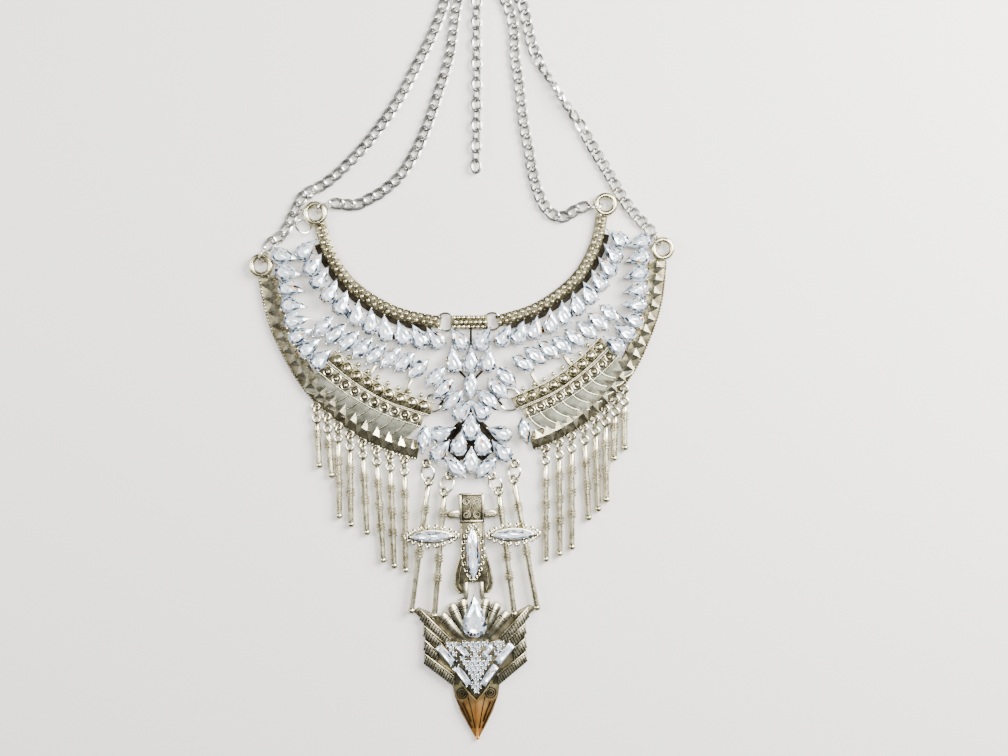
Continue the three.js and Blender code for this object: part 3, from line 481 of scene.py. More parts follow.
class Line:
    """A smooth flat line through measured points, walked by its length."""

    GRAIN = 24
    STEP = 0.004

    def __init__(self, points: Sequence[Point]) -> None:
        """Lay the line.

        Args:
            points: Measured points in mm.
        """
        knots = [Vector((x, y, 0.0)) for x, y in points]
        knots = [2 * knots[0] - knots[1], *knots, 2 * knots[-1] - knots[-2]]
        self.track = [knots[1]]
        shares = [(i + 1) / self.GRAIN for i in range(self.GRAIN)]
        for before, start, end, after in zip(knots, knots[1:], knots[2:], knots[3:]):
            self.track += [self._between(before, start, end, after, share) for share in shares]
        self.reach = [0.0]
        for a, b in zip(self.track, self.track[1:]):
            self.reach.append(self.reach[-1] + (b - a).length)

    @staticmethod
    def _between(before: Vector, start: Vector, end: Vector, after: Vector, share: float) -> Vector:
        """Find a point of the centripetal spline between two knots.

        Args:
            before: The knot before the stretch.
            start: The knot where the stretch starts.
            end: The knot where it ends.
            after: The knot after the stretch.
            share: How far along the stretch, from 0 to 1.

        Returns:
            The point.
        """
        stretches = ((before, start), (start, end), (end, after))
        first, middle, last = ((b - a).length ** 0.5 for a, b in stretches)
        chord = (end - start) / middle
        leave = ((start - before) / first - (end - before) / (first + middle) + chord) * middle
        enter = (chord - (after - start) / (middle + last) + (after - end) / last) * middle
        square = -3 * start + 3 * end - 2 * leave - enter
        cube = 2 * start - 2 * end + leave + enter
        return start + leave * share + square * share**2 + cube * share**3

    @property
    def length(self) -> float:
        """Length in mm."""
        return self.reach[-1]

    def point(self, share: float) -> Vector:
        """Give the point at a share of the length.

        Args:
            share: The share, from 0 to 1.

        Returns:
            The point in mm.
        """
        distance = min(max(share, 0.0), 1.0) * self.length
        i = min(max(bisect.bisect_right(self.reach, distance), 1), len(self.track) - 1)
        a, b = self.reach[i - 1], self.reach[i]
        return self.track[i - 1].lerp(self.track[i], (distance - a) / (b - a) if b > a else 0.0)

    def station(self, share: float) -> Station:
        """Give the place and direction at a share of the length."""
        low, high = max(share - self.STEP, 0.0), min(share + self.STEP, 1.0)
        return Station(self.point(share), (self.point(high) - self.point(low)).normalized())

    def stations(self, count: int, first: float = 0.0, last: float = 1.0) -> list[Station]:
        """Give places at equal distances.

        Args:
            count: How many.
            first: Share of the length where they start.
            last: Share where they end.

        Returns:
            The places in order.
        """
        return [self.station(first + (last - first) * i / (count - 1)) for i in range(count)]

    def inset(self, count: int, ends: float) -> list[Station]:
        """Give places at equal distances that start and end a length in mm from the line's ends."""
        return self.stations(count, ends / self.length, 1 - ends / self.length)


def at(x: float, y: float, up: float = 0.0, turn: float = 0.0) -> Matrix:
    """Give a place in mm, turned by degrees about the vertical."""
    return Matrix.Translation((x, y, up)) @ Matrix.Rotation(math.radians(turn), 4, "Z")


def tipped(degrees: float, axis: str) -> Matrix:
    """Give a rotation by degrees about an axis."""
    return Matrix.Rotation(math.radians(degrees), 4, axis)


# Shapes that are built once and set down where they are needed
class Stamp:
    """A small shape in mm."""

    def __init__(self, shape: bmesh.types.BMesh) -> None:
        """Keep a shape.

        Args:
            shape: The bmesh, which is freed.
        """
        bmesh.ops.recalc_face_normals(shape, faces=shape.faces)
        self.data = bpy.data.meshes.new("stamp")
        shape.to_mesh(self.data)
        shape.free()


def ring_edges(shape: bmesh.types.BMesh, ring: Ring) -> list[bmesh.types.BMEdge]:
    """Give the edges of a closed ring."""
    return [shape.edges.get(pair) for pair in zip(ring, ring[1:] + ring[:1])]


def raise_ring(shape: bmesh.types.BMesh, ring: Ring, spots: Iterable[Vector]) -> Ring:
    """Extrude a closed ring and put the new ring in its place.

    Args:
        shape: The bmesh.
        ring: The ring's vertices in order.
        spots: Where the new vertices go, in the same order.

    Returns:
        The new ring in order.
    """
    made = bmesh.ops.extrude_edge_only(shape, edges=ring_edges(shape, ring))["geom"]
    fresh = {item for item in made if isinstance(item, bmesh.types.BMVert)}
    raised = [next(e.other_vert(v) for e in v.link_edges if e.other_vert(v) in fresh) for v in ring]
    for vert, spot in zip(raised, spots):
        vert.co = spot
    return raised


def close_ring(shape: bmesh.types.BMesh, ring: Ring) -> None:
    """Fill a closed ring with one face."""
    bmesh.ops.contextual_create(shape, geom=[*ring, *ring_edges(shape, ring)])


def ease(
    shape: bmesh.types.BMesh, edges: Iterable[bmesh.types.BMEdge], size: float, clamp: bool = False
) -> None:
    """Round edges over.

    Args:
        shape: The bmesh.
        edges: Its edges that are rounded.
        size: Size of the rounding in mm.
        clamp: Whether it stops where two roundings meet.
    """
    geometry = list(edges)
    bmesh.ops.bevel(
        shape,
        geom=geometry,
        offset=size,
        affect="EDGES",
        segments=2,
        profile=0.5,
        material=-1,
        clamp_overlap=clamp,
    )


def spin_round(shape: bmesh.types.BMesh, geometry: list, axis: tuple[int, int, int], steps: int) -> None:
    """Spin a profile a full turn about an axis through the origin.

    Args:
        shape: The bmesh.
        geometry: The profile's vertices and edges.
        axis: The axis.
        steps: Number of stretches.
    """
    bmesh.ops.spin(
        shape, geom=geometry, cent=(0, 0, 0), axis=axis, angle=2 * math.pi, steps=steps, use_merge=True
    )


def both_sides(half: Sequence[Point]) -> list[Point]:
    """Add the mirror image of a half outline, without a second copy of the points on the middle line."""
    return [*half, *[(-x, y) for x, y in reversed(half) if x]]


def lofted(rings: Sequence[Sequence[Vector]]) -> bmesh.types.BMesh:
    """Build a closed skin through rings of equal numbers of points.

    Args:
        rings: The rings in order.

    Returns:
        The bmesh.
    """
    shape = bmesh.new()
    first = [shape.verts.new(spot) for spot in rings[0]]
    for pair in zip(first, first[1:] + first[:1]):
        shape.edges.new(pair)
    ring = first
    for spots in rings[1:]:
        ring = raise_ring(shape, ring, spots)
    close_ring(shape, first)
    close_ring(shape, ring)
    return shape


def swept(line: Line, section: Sequence[Point], steps: int, first: float = 0.0, last: float = 1.0) -> Stamp:
    """Sweep a flat section along a line.

    Args:
        line: The line.
        section: The section's corners as (distance to the left of travel, height) in mm.
        steps: Number of stretches.
        first: Share of the line where it starts.
        last: Share where it ends.

    Returns:
        The band.
    """
    places = [station.matrix() for station in line.stations(steps + 1, first, last)]
    return Stamp(lofted([[place @ Vector((0.0, left, up)) for left, up in section] for place in places]))


def rounded(width: float, bottom: float, top: float, edge: float = 0.35) -> list[Point]:
    """Give a band's section with its upper edges eased.

    Args:
        width: Width in mm.
        bottom: Height of the underside in mm.
        top: Height of the top in mm.
        edge: Size of the eased edge in mm.

    Returns:
        The section's corners as (left, height).
    """
    half = width / 2
    return [
        (-half, bottom),
        (half, bottom),
        (half, top - edge),
        (half - 0.3 * edge, top - 0.3 * edge),
        (half - edge, top),
        (edge - half, top),
        (0.3 * edge - half, top - 0.3 * edge),
        (-half, top - edge),
    ]


def wire(points: Sequence[Vector], radius: float, sides: int = 6) -> Stamp:
    """Draw a round wire through points.

    Args:
        points: The points in mm.
        radius: Radius of the wire in mm.
        sides: Number of sides of its section.

    Returns:
        The wire.
    """
    rings = []
    for i, point in enumerate(points):
        ahead = points[min(i + 1, len(points) - 1)] - points[max(i - 1, 0)]
        place = Matrix.Translation(point) @ ahead.to_track_quat("X", "Z").to_matrix().to_4x4()
        angles = [2 * math.pi * k / sides for k in range(sides)]
        rings.append([place @ Vector((0.0, radius * math.cos(a), radius * math.sin(a))) for a in angles])
    return Stamp(lofted(rings))


def slab(
    outline: Sequence[Point], bottom: float, top: float, edge: float = 0.25, dish: float = 0.0
) -> Stamp:
    """Cut a plate with eased upper edges.

    Args:
        outline: Corners in mm.
        bottom: Height of the underside in mm.
        top: Height of the top in mm.
        edge: Size of the eased edge in mm.
        dish: How far the field inside the rim is sunk in mm.

    Returns:
        The plate.
    """
    shape = lofted([[Vector((x, y, height)) for x, y in outline] for height in (bottom, top)])
    shape.faces.ensure_lookup_table()
    lid = max(shape.faces, key=lambda face: face.calc_center_median().z)
    ease(shape, lid.edges, edge, clamp=True)
    if dish:
        lid = max(shape.faces, key=lambda face: (round(face.calc_center_median().z, 3), face.calc_area()))
        bmesh.ops.inset_region(shape, faces=[lid], thickness=2 * edge, depth=0.0)
        bmesh.ops.inset_region(shape, faces=[lid], thickness=0.15, depth=-dish)
    return Stamp(shape)


def bar(length: float, width: float, bottom: float, top: float, edge: float = 0.25) -> Stamp:
    """Cut a straight bar with eased edges, centred on the origin and along X.

    Args:
        length: Length in mm.
        width: Width in mm.
        bottom: Height of the underside in mm.
        top: Height of the top in mm.
        edge: Size of the eased edge in mm.

    Returns:
        The bar.
    """
    shape = bmesh.new()
    size = Matrix.Diagonal((length, width, top - bottom, 1.0))
    bmesh.ops.create_cube(shape, size=1.0, matrix=Matrix.Translation((0.0, 0.0, (bottom + top) / 2)) @ size)
    ease(shape, shape.edges, edge)
    return Stamp(shape)


def between(start: Point, end: Point) -> Matrix:
    """Give the middle place between two points, with X towards the second."""
    dx, dy = end[0] - start[0], end[1] - start[1]
    return at((start[0] + end[0]) / 2, (start[1] + end[1]) / 2, 0.0, math.degrees(math.atan2(dy, dx)))


def ball(radius: float, grain: int = 2, squash: float = 1.0) -> Stamp:
    """Make a bead.

    Args:
        radius: Radius in mm.
        grain: Fineness of its mesh.
        squash: Height as a share of the width.

    Returns:
        The bead.
    """
    shape = bmesh.new()
    flat = Matrix.Diagonal((1.0, 1.0, squash, 1.0))
    bmesh.ops.create_icosphere(shape, subdivisions=grain, radius=radius, matrix=flat)
    return Stamp(shape)


def hoop(radius: float, thick: float, steps: int = 24, sides: int = 8) -> bmesh.types.BMesh:
    """Bend a round wire to a ring about Z.

    Args:
        radius: Radius of the wire's middle line in mm.
        thick: Radius of the wire in mm.
        steps: Number of stretches.
        sides: Number of sides of the wire.

    Returns:
        The bmesh.
    """
    shape = bmesh.new()
    section = Matrix.Translation((radius, 0.0, 0.0)) @ tipped(90, "X")
    made = bmesh.ops.create_circle(shape, segments=sides, radius=thick, matrix=section)
    spin_round(shape, [*made["verts"], *shape.edges], (0, 0, 1), steps)
    return shape


def eye_ring() -> Stamp:
    """Bend the round eye of a drop, a bar or a loop."""
    return Stamp(hoop(EYE_RADIUS, EYE_WIRE, 20, 8))


def turned(profile: Sequence[Point], steps: int = 12) -> Stamp:
    """Turn a profile about Y.

    Args:
        profile: Points as (radius, y) in mm.
        steps: Number of sides.

    Returns:
        The turned shape.
    """
    shape = bmesh.new()
    verts = [shape.verts.new((radius, y, 0.0)) for radius, y in profile]
    edges = [shape.edges.new(pair) for pair in zip(verts, verts[1:])]
    spin_round(shape, [*verts, *edges], (0, 1, 0), steps)
    bmesh.ops.remove_doubles(shape, verts=shape.verts, dist=0.001)
    return Stamp(shape)


def oval_link(
    half_length: float, half_width: float, thick: float, twist: float, steps: int = 14, sides: int = 5
) -> Stamp:
    """Bend one chain link, twisted so that the next one passes through it.

    Args:
        half_length: Half length of the wire's middle line in mm.
        half_width: Half width of that line in mm.
        thick: Radius of the wire in mm.
        twist: Height of the twist in mm.
        steps: Number of stretches.
        sides: Number of sides of the wire.

    Returns:
        The link.
    """
    circle = 10.0
    shape = hoop(circle, thick, steps, sides)
    for vert in shape.verts:
        angle = math.atan2(vert.co.y, vert.co.x)
        middle = Vector((math.cos(angle), math.sin(angle), 0.0))
        line = Vector((half_length * middle.x, half_width * middle.y, twist * math.sin(2 * angle)))
        vert.co = line + vert.co - circle * middle
    return Stamp(shape)


@dataclass(frozen=True)
class Gem:
    """One stone and where it sits."""

    cut: Cut
    x: float
    y: float
    turn: float
    width: float = PEAR_WIDTH
    length: float = PEAR_LENGTH
    foot: float = 2.9
    cup: float = 1.35
    crown: float = 1.15
    sides: int = 12

    @property
    def matrix(self) -> Matrix:
        """Place of the stone."""
        return at(self.x, self.y, self.foot, self.turn)

    def ring(self, share: float, height: float, half_step: bool = False) -> list[Vector]:
        """Give one ring of the stone's corners.

        Args:
            share: Size of the ring as a share of the outline.
            height: Height above the stone's foot in mm.
            half_step: Whether the corners stand between those of the next ring.

        Returns:
            The corners.
        """
        start = 0.5 if half_step and self.cut is not Cut.BAGUETTE else 0.0
        places = [(i + start) / self.sides for i in range(self.sides)]
        points = [self.cut.point(place, self.width, self.length) for place in places]
        return [Vector((x * share, y * share, height)) for x, y in points]

    def stone(self) -> Stamp:
        """Cut the stone: pavilion, girdle, crown, table and the facets that show through the table."""
        cup, top = self.cup, self.cup + self.crown
        rings = [
            self.ring(0.7, 0.4 * cup),
            self.ring(0.98, cup - 0.05),
            self.ring(1.0, cup + 0.15),
            self.ring(0.82, cup + 0.6 * self.crown, half_step=True),
            self.ring(0.58, top),
            self.ring(0.3, top - 0.28, half_step=True),
        ]
        shape = lofted(rings)
        well = max(shape.faces, key=lambda face: len(face.verts) * 10 + face.calc_center_median().z)
        bmesh.ops.poke(shape, faces=[well], offset=-0.12)
        bmesh.ops.triangulate(shape, faces=shape.faces)
        return Stamp(shape)

    def setting(self) -> Stamp:
        """Make the open cup under the stone."""
        foot, belly = self.ring(0.72, 0.0), self.ring(0.9, 0.6 * self.cup)
        return Stamp(lofted([foot, belly, self.ring(0.94, self.cup - 0.1)]))


def claw(height: float, radius: float = 0.42) -> Stamp:
    """Make a claw: a pin with a round head.

    Args:
        height: Height of the head's middle in mm.
        radius: Radius of the head in mm.

    Returns:
        The claw.
    """
    shape = bmesh.new()
    bmesh.ops.create_cone(
        shape,
        cap_ends=True,
        segments=5,
        radius1=0.8 * radius,
        radius2=0.6 * radius,
        depth=height,
        matrix=Matrix.Translation((0.0, 0.0, height / 2)),
    )
    head = Matrix.Translation((0.0, 0.0, height))
    bmesh.ops.create_icosphere(shape, subdivisions=1, radius=radius, matrix=head)
    return Stamp(shape)


def corners(face: bmesh.types.BMFace) -> list[tuple[float, ...]]:
    """Give a face's corners, by which faces are put in the same order in every run."""
    return sorted(vert.co.to_tuple(3) for vert in face.verts)


class Workpiece:
    """A piece in the making, in mm, that becomes one Blender object in metres."""

    def __init__(self, base: Matrix | None = None) -> None:
        """Start an empty piece.

        Args:
            base: The place that everything in it is measured from.
        """
        self.shape = bmesh.new()
        self.base = Matrix.Translation((*SHIFT, 0.0)) @ (base or Matrix.Identity(4))

    def add(self, stamp: Stamp, place: Matrix | None = None) -> None:
        """Set a shape down.

        Args:
            stamp: The shape.
            place: Where it goes, measured from the piece's base.
        """
        matrix = self.base @ (place or Matrix.Identity(4))
        copy = stamp.data.copy()
        copy.transform(matrix)
        if matrix.determinant() < 0:
            copy.flip_normals()
        self.shape.from_mesh(copy)
        bpy.data.meshes.remove(copy)

    def _paint_facet_light(self, name: str) -> None:
        """Paint each facet a seeded shade of light: painted highlights on tables, painted reflections of
        any brightness on the flanks, and a few painted orange glints.

        Args:
            name: The piece's name, which is part of the seed.
        """
        dice = random.Random(f"{SEED}{name}")
        layer = self.shape.faces.layers.float.new("facet")
        self.shape.normal_update()
        for face in sorted(self.shape.faces, key=corners):
            share = dice.random()
            if share > PAINTED_GLINT_START:
                face[layer] = 1.0
            elif face.normal.z > TABLE_NORMAL:
                face[layer] = TABLE_PAINTED_HIGHLIGHT + TABLE_HIGHLIGHT_RANGE * share
            else:
                face[layer] = FLANK_PAINTED_REFLECTION_RANGE * share

    def finish(self, name: str, finish: Metal | Crystal, nodes: Sequence[str], sharp: float = 35.0) -> None:
        """Turn the piece to an object that rides on the necklace and stands for its nodes.

        Args:
            name: The object's name.
            finish: Its finish.
            nodes: The CAD nodes that it replaces.
            sharp: Angle in degrees past which an edge stays sharp.
        """
        facetted = isinstance(finish, Crystal)
        if facetted:
            # Painted reflections, highlights and glints go on the crystal facets here
            self._paint_facet_light(name)
        for face in self.shape.faces:
            face.smooth = not facetted
        bmesh.ops.transform(self.shape, matrix=Matrix.Scale(MM, 4), verts=self.shape.verts)
        data = bpy.data.meshes.new(name)
        self.shape.to_mesh(data)
        self.shape.free()
        if not facetted:
            data.set_sharp_from_angle(angle=math.radians(sharp))
        data.materials.append(material_of(finish))
        piece = show(name, data)
        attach(piece, BODY)
        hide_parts(*nodes)
        LOG.info("%s: %d faces", name, len(data.polygons))


def set_gem(gem: Gem, stones: Workpiece, metal: Workpiece, pin: Stamp, sunk: float = 0.0) -> None:
    """Put down a stone, its cup and its claws.

    Args:
        gem: The stone.
        stones: The piece that takes the stone.
        metal: The piece that takes the cup and the claws.
        pin: The claw.
        sunk: How deep the claws stand below the stone's foot in mm.
    """
    stones.add(gem.stone(), gem.matrix)
    metal.add(gem.setting(), gem.matrix)
    for share in gem.cut.claws():
        x, y = gem.cut.point(share, gem.width, gem.length)
        metal.add(pin, gem.matrix @ at(x, y, -sunk))


@dataclass
class StoneField:
    """Stones that share a row, with their cups, claws and the rails that join them."""

    name: str
    node: str
    gems: list[Gem]
    base: Matrix
    rails: list[Line] = field(default_factory=list)
    rail_width: float = 2.6
    rail_height: float = 0.5
    claw_radius: float = 0.42

    def build(self) -> None:
        """Cut the stones and make their settings."""
        stones = Workpiece(self.base)
        metal = Workpiece(self.base)
        gallery = Workpiece(self.base)
        for gem in self.gems:
            set_gem(gem, stones, metal, claw(gem.cup + 0.2, self.claw_radius))
        foot = min(gem.foot for gem in self.gems)
        # The rails under the stones are near-black and wide: the backing's oxide, and painted shade in the
        # gaps between stones
        for rail in self.rails:
            section = rounded(self.rail_width, foot - 0.3, foot + self.rail_height, 0.15)
            gallery.add(swept(rail, section, max(2, round(rail.length / 4))))
        stones.finish(f"{self.name}_crystals", CUT_CRYSTAL, [self.node])
        metal.finish(f"{self.name}_settings", BRIGHT_WIRE, [self.node])
        if self.rails:
            gallery.finish(f"{self.name}_gallery", BLACK_OXIDE_AND_SHADE, [self.node])


# Lines of one wing, from its collar's inner end, with +X towards the centre piece
COLLAR_LINE = Line(
    [(-47.4, 39.8), (-45.6, 32.8), (-42.6, 25.6), (-36, 16), (-27.6, 9.2), (-15.6, 3.2), (0.8, -0.3)]
)
OUTER_LINE = Line(
    [
        (-68.1, 18.1), (-66.6, 10), (-64, 0), (-59.6, -10), (-51.6, -23.6),
        (-43.8, -32), (-35.6, -38.8), (-26, -45), (-15.6, -49.2), (-7.9, -51),
    ]
)
DOME_LINE = Line([(-42.8, -13.4), (-32.4, -21.8), (-19.6, -29.2), (-2.6, -34.8)])
RINGED_LINE = Line([(-46.4, -18.1), (-36.8, -25.6), (-20.8, -34.6), (-6.4, -39.5)])
EDGE_LINE = Line([(-63.8, 26.4), (-61.2, 14), (-59.4, 2), (-56.2, -8), (-48.4, -16.4)])
MIDDLE_LINE = Line([(-46, -2), (-35.4, -8), (-25.2, -12.8), (-14, -15.8), (-8.2, -18.8)])
FILL_OUTLINE = [
    (-47, -19.4), (-33, -28.4), (-20.8, -35), (-10.6, -39.4), (-15.4, -47),
    (-26, -43), (-35.6, -36.6), (-44, -29.6), (-50.4, -22.4),
]


@dataclass
class Wing:
    """One cast wing with its rows of stones."""

    side: Side
    x: float
    y: float
    turn: float
    scale: float
    plate: float = 2.6
    end_rings: tuple[Point, Point] = ((-70.8, 22.4), (-49.2, 43.2))
    neckline_row: Point = (0.098, 0.925)
    neckline_turns: tuple[int, ...] = (225, 234, 234, 242, 249, 258, 266, 272, 287, 295, 306)
    edge_turns: tuple[int, ...] = (169, 171, 171, 174, 188, 205, 217, 221)
    middle_turns: tuple[int, ...] = (45, 45, 45, 45, 45, 44, 42, 40)
    drop_count: int = 8
    drop_row: Point = (0.555, 0.951)
    drop_reach: float = 4.9
    eye_height: float = 1.65
    bead_count: int = 46
    bead_radius: float = 0.97
    seed_radius: float = 0.46
    pyramid_count: int = 18
    pyramid_radius: float = 3.3
    pyramid_height: float = 1.5
    grain_count: int = 80
    grain_radius: float = 0.56
    dome_count: int = 9
    dome_radius: float = 2.0
    dome_inset: float = 3.4
    button_count: int = 10
    button_radius: float = 1.0
    scale_count: int = 8
    scale_row: Point = (0.09, 0.84)
    scale_half: Point = (7.4, 4.3)
    arms: tuple[tuple[Point, Point], ...] = (((-10.8, -22.8), (-13.6, -29)), ((-25.2, -17.2), (-28.6, -23)))

    @property
    def matrix(self) -> Matrix:
        """Place of the wing. The right one is the left one mirrored."""
        across = self.scale if self.side is Side.LEFT else -self.scale
        return at(self.x, self.y, 0.0, self.turn) @ Matrix.Diagonal((across, self.scale, 1.0, 1.0))

    @property
    def node(self) -> str:
        """Name of the wing's CAD node."""
        return f"wing_frame_{self.side.value}"

    def finish(self, piece: Workpiece, name: str, finish: Metal, sharp: float = 35.0) -> None:
        """Finish a piece of the wing under a name that says its side."""
        piece.finish(f"{name}_{self.side.value}", finish, [self.node], sharp)

    def place(self, x: float, y: float) -> Point:
        """Give a point of the wing as measured on the whole necklace."""
        spot = self.matrix @ Vector((x, y, 0.0))
        return spot.x, spot.y

    def drop_eyes(self) -> list[Point]:
        """Give the middles of the eyes that the drops hang from, in the wing's own measure."""
        eyes = []
        for station in OUTER_LINE.stations(self.drop_count, *self.drop_row):
            spot = station.point + station.side * self.drop_reach
            eyes.append((spot.x, spot.y))
        return eyes

    def build(self) -> None:
        """Make the wing."""
        self.build_collar()
        self.build_pyramids()
        self.build_domes()
        self.build_scales()
        self.build_stones()

    def build_collar(self) -> None:
        """Make the neckline band with its staggered beads, and both end rings."""
        band = Workpiece(self.matrix)
        section = [
            (-2.4, 0.0), (2.4, 0.0), (2.4, 1.6), (1.7, 2.1),
            (0.7, 2.3), (-0.7, 2.3), (-1.7, 2.1), (-2.4, 1.6),
        ]
        band.add(swept(COLLAR_LINE, section, 36))
        self.finish(band, "collar_field", DARK_OXIDE)
        # Near-black strip beside the collar under the pears' tips: painted shadow in the gaps between
        # collar and stones
        painted_shadow_strip = Workpiece(self.matrix)
        painted_shadow_strip.add(swept(COLLAR_LINE, [(-4.5, 0.7), (-2.2, 0.7), (-2.2, 1.6), (-4.5, 1.6)], 30, 0.12, 0.95))
        self.finish(painted_shadow_strip, "collar_gallery", BLACK_OXIDE_AND_SHADE)
        piece = Workpiece(self.matrix)
        large, small = ball(self.bead_radius), ball(self.seed_radius, 1)
        for i, station in enumerate(COLLAR_LINE.inset(self.bead_count, 1.0)):
            way = 1 if i % 2 else -1
            piece.add(large, station.matrix(0.82 * way, 2.5))
            piece.add(small, station.matrix(-2.0 * way, 2.0))
        ring = Stamp(hoop(3.8, 1.2, 32, 12))
        for x, y in self.end_rings:
            piece.add(ring, at(x, y, 2.35))
        self.finish(piece, "collar", ANTIQUE_SILVER)

    def build_pyramids(self) -> None:
        """Make the outer band with its pyramids, its beaded edge and the eyes for the drops."""
        piece = Workpiece(self.matrix)
        band = Workpiece(self.matrix)
        section = [(-3.9, 0.0), (3.4, 0.0), (3.4, 1.8), (3.1, 2.2), (-3.0, 2.2), (-3.5, 1.9), (-3.9, 1.5)]
        band.add(swept(OUTER_LINE, section, 40))
        self.finish(band, "pyramid_field", DARK_OXIDE)
        pyramid = bmesh.new()
        bmesh.ops.create_cone(
            pyramid,
            cap_ends=True,
            segments=4,
            radius1=self.pyramid_radius,
            radius2=0.06,
            depth=self.pyramid_height,
        )
        for vert in pyramid.verts:
            if vert.co.y > 1:
                vert.co.y *= 1.15
        stud = Stamp(pyramid)
        studs = Workpiece(self.matrix)
        stretch = Matrix.Diagonal((0.92, 1.05, 1.0, 1.0))
        for station in OUTER_LINE.inset(self.pyramid_count, 3.0):
            studs.add(stud, station.matrix(-0.2, self.plate + 0.65) @ stretch)
        self.finish(studs, "pyramids", BUFFED_SILVER, sharp=20.0)
        grain = ball(self.grain_radius, 1)
        for station in OUTER_LINE.inset(self.grain_count, 1.0):
            piece.add(grain, station.matrix(3.7, 1.75))
        eye = eye_ring()
        for x, y in self.drop_eyes():
            piece.add(eye, at(x, y, self.eye_height))
        self.finish(piece, "pyramid_band", ANTIQUE_SILVER, sharp=28.0)

    def build_domes(self) -> None:
        """Make the band of domes with its balls, and the band of ringed domes."""
        piece = Workpiece(self.matrix)
        field_plate = Workpiece(self.matrix)
        field_plate.add(swept(DOME_LINE, rounded(5.2, 0.0, self.plate - 0.1, 0.3), 18))
        field_plate.add(swept(RINGED_LINE, rounded(5.0, 0.0, 2.3, 0.25), 18))
        self.finish(field_plate, "dome_fields", DARK_OXIDE)
        for offset in (-2.55, 2.55):
            section = [(left - offset, up) for left, up in rounded(0.45, 1.2, self.plate + 0.15, 0.12)]
            piece.add(swept(DOME_LINE, section, 18))
        dome, seat = ball(self.dome_radius, 3, 0.9), Stamp(hoop(self.dome_radius + 0.2, 0.14, 24, 6))
        for station in DOME_LINE.inset(self.dome_count, self.dome_inset):
            piece.add(dome, station.matrix(0.0, self.plate + 0.05))
            piece.add(seat, station.matrix(0.0, self.plate))
        bead, stem = ball(1.0, 2), bar(2.2, 0.8, 1.2, 2.2, 0.15)
        between_domes = self.dome_count - 1
        gap = (1 - 2 * self.dome_inset / DOME_LINE.length) / between_domes
        first = self.dome_inset / DOME_LINE.length + gap / 2
        for station in DOME_LINE.stations(between_domes, first, 1 - first):
            piece.add(bead, station.matrix(-4.1, 1.9))
            piece.add(stem, station.matrix(-3.0) @ tipped(90, "Z"))
        for offset in (-2.4, 2.4):
            section = [(left - offset, up) for left, up in rounded(0.5, 1.2, 2.75, 0.15)]
            piece.add(swept(RINGED_LINE, section, 18))
        button, rim = ball(self.button_radius, 3, 0.9), Stamp(hoop(1.74, 0.33, 24, 6))
        for station in RINGED_LINE.inset(self.button_count, 3.0):
            piece.add(button, station.matrix(0.0, 2.4))
            piece.add(rim, station.matrix(0.0, 2.65))
        for start, end in self.arms:
            piece.add(bar(math.dist(start, end), 1.6, 1.3, 2.5, 0.2), between(start, end))
        self.finish(piece, "dome_bands", ANTIQUE_SILVER)

    def build_scales(self) -> None:
        """Make the overlapping scales and the plate under them."""
        piece = Workpiece(self.matrix)
        under = Workpiece(self.matrix)
        under.add(slab(FILL_OUTLINE, 0.0, 1.7, 0.2))
        self.finish(under, "scale_field", DARK_OXIDE)
        turns = [2 * math.pi * i / 28 for i in range(28)]
        long, wide = self.scale_half
        leaf = [(long * math.cos(angle), wide * math.sin(angle)) for angle in turns]
        scale = slab(leaf, -0.6, 0.3, 0.2)
        rim = wire([Vector((x, y, 0.28)) for x, y in leaf[13:28]], 0.2)
        rims = Workpiece(self.matrix)
        for station in RINGED_LINE.stations(self.scale_count, *self.scale_row):
            spot = station.matrix(5.0, 2.05) @ tipped(50, "Z") @ tipped(-6, "X")
            piece.add(scale, spot)
            rims.add(rim, spot)
        self.finish(rims, "scale_rims", ANTIQUE_SILVER)
        self.finish(piece, "scales", BRUSHED_SILVER)

    def neckline_gems(self) -> list[Gem]:
        """Give the pears that hang from the neckline band."""
        gems = []
        stations = COLLAR_LINE.stations(len(self.neckline_turns), *self.neckline_row)
        for station, turn in zip(stations, self.neckline_turns):
            reach = PEAR_LENGTH - PEAR_WIDTH / 2
            x = station.point.x + station.side.x * 2.9 + reach * math.cos(math.radians(turn))
            y = station.point.y + station.side.y * 2.9 + reach * math.sin(math.radians(turn))
            gems.append(Gem(Cut.PEAR, x, y, turn))
        return gems

    def edge_gems(self) -> list[Gem]:
        """Give the pears that stand along the outer band."""
        gems = []
        shift = (PEAR_LENGTH - PEAR_WIDTH) * 0.18
        for station, turn in zip(EDGE_LINE.stations(len(self.edge_turns)), self.edge_turns):
            x = station.point.x - shift * math.cos(math.radians(turn))
            y = station.point.y - shift * math.sin(math.radians(turn))
            gems.append(Gem(Cut.PEAR, x, y, turn))
        return gems

    def build_stones(self) -> None:
        """Set the wing's three rows and its corner stone."""
        name = self.side.value
        rows = {
            "neckline": self.neckline_gems(),
            "edge": self.edge_gems(),
            "middle": [
                Gem(Cut.NAVETTE, station.point.x, station.point.y, turn, *NAVETTE_SIZE)
                for station, turn in zip(MIDDLE_LINE.stations(len(self.middle_turns)), self.middle_turns)
            ],
        }
        for row, gems in rows.items():
            rail = Line([(gem.x, gem.y) for gem in gems])
            StoneField(f"{row}_{name}", f"{row}_stones_{name}", gems, self.matrix, [rail]).build()
        corner = Gem(Cut.NAVETTE, -5.8, -46.6, 84, 5.8, 10.9)
        StoneField(f"corner_{name}", f"corner_stone_{name}", [corner], self.matrix).build()


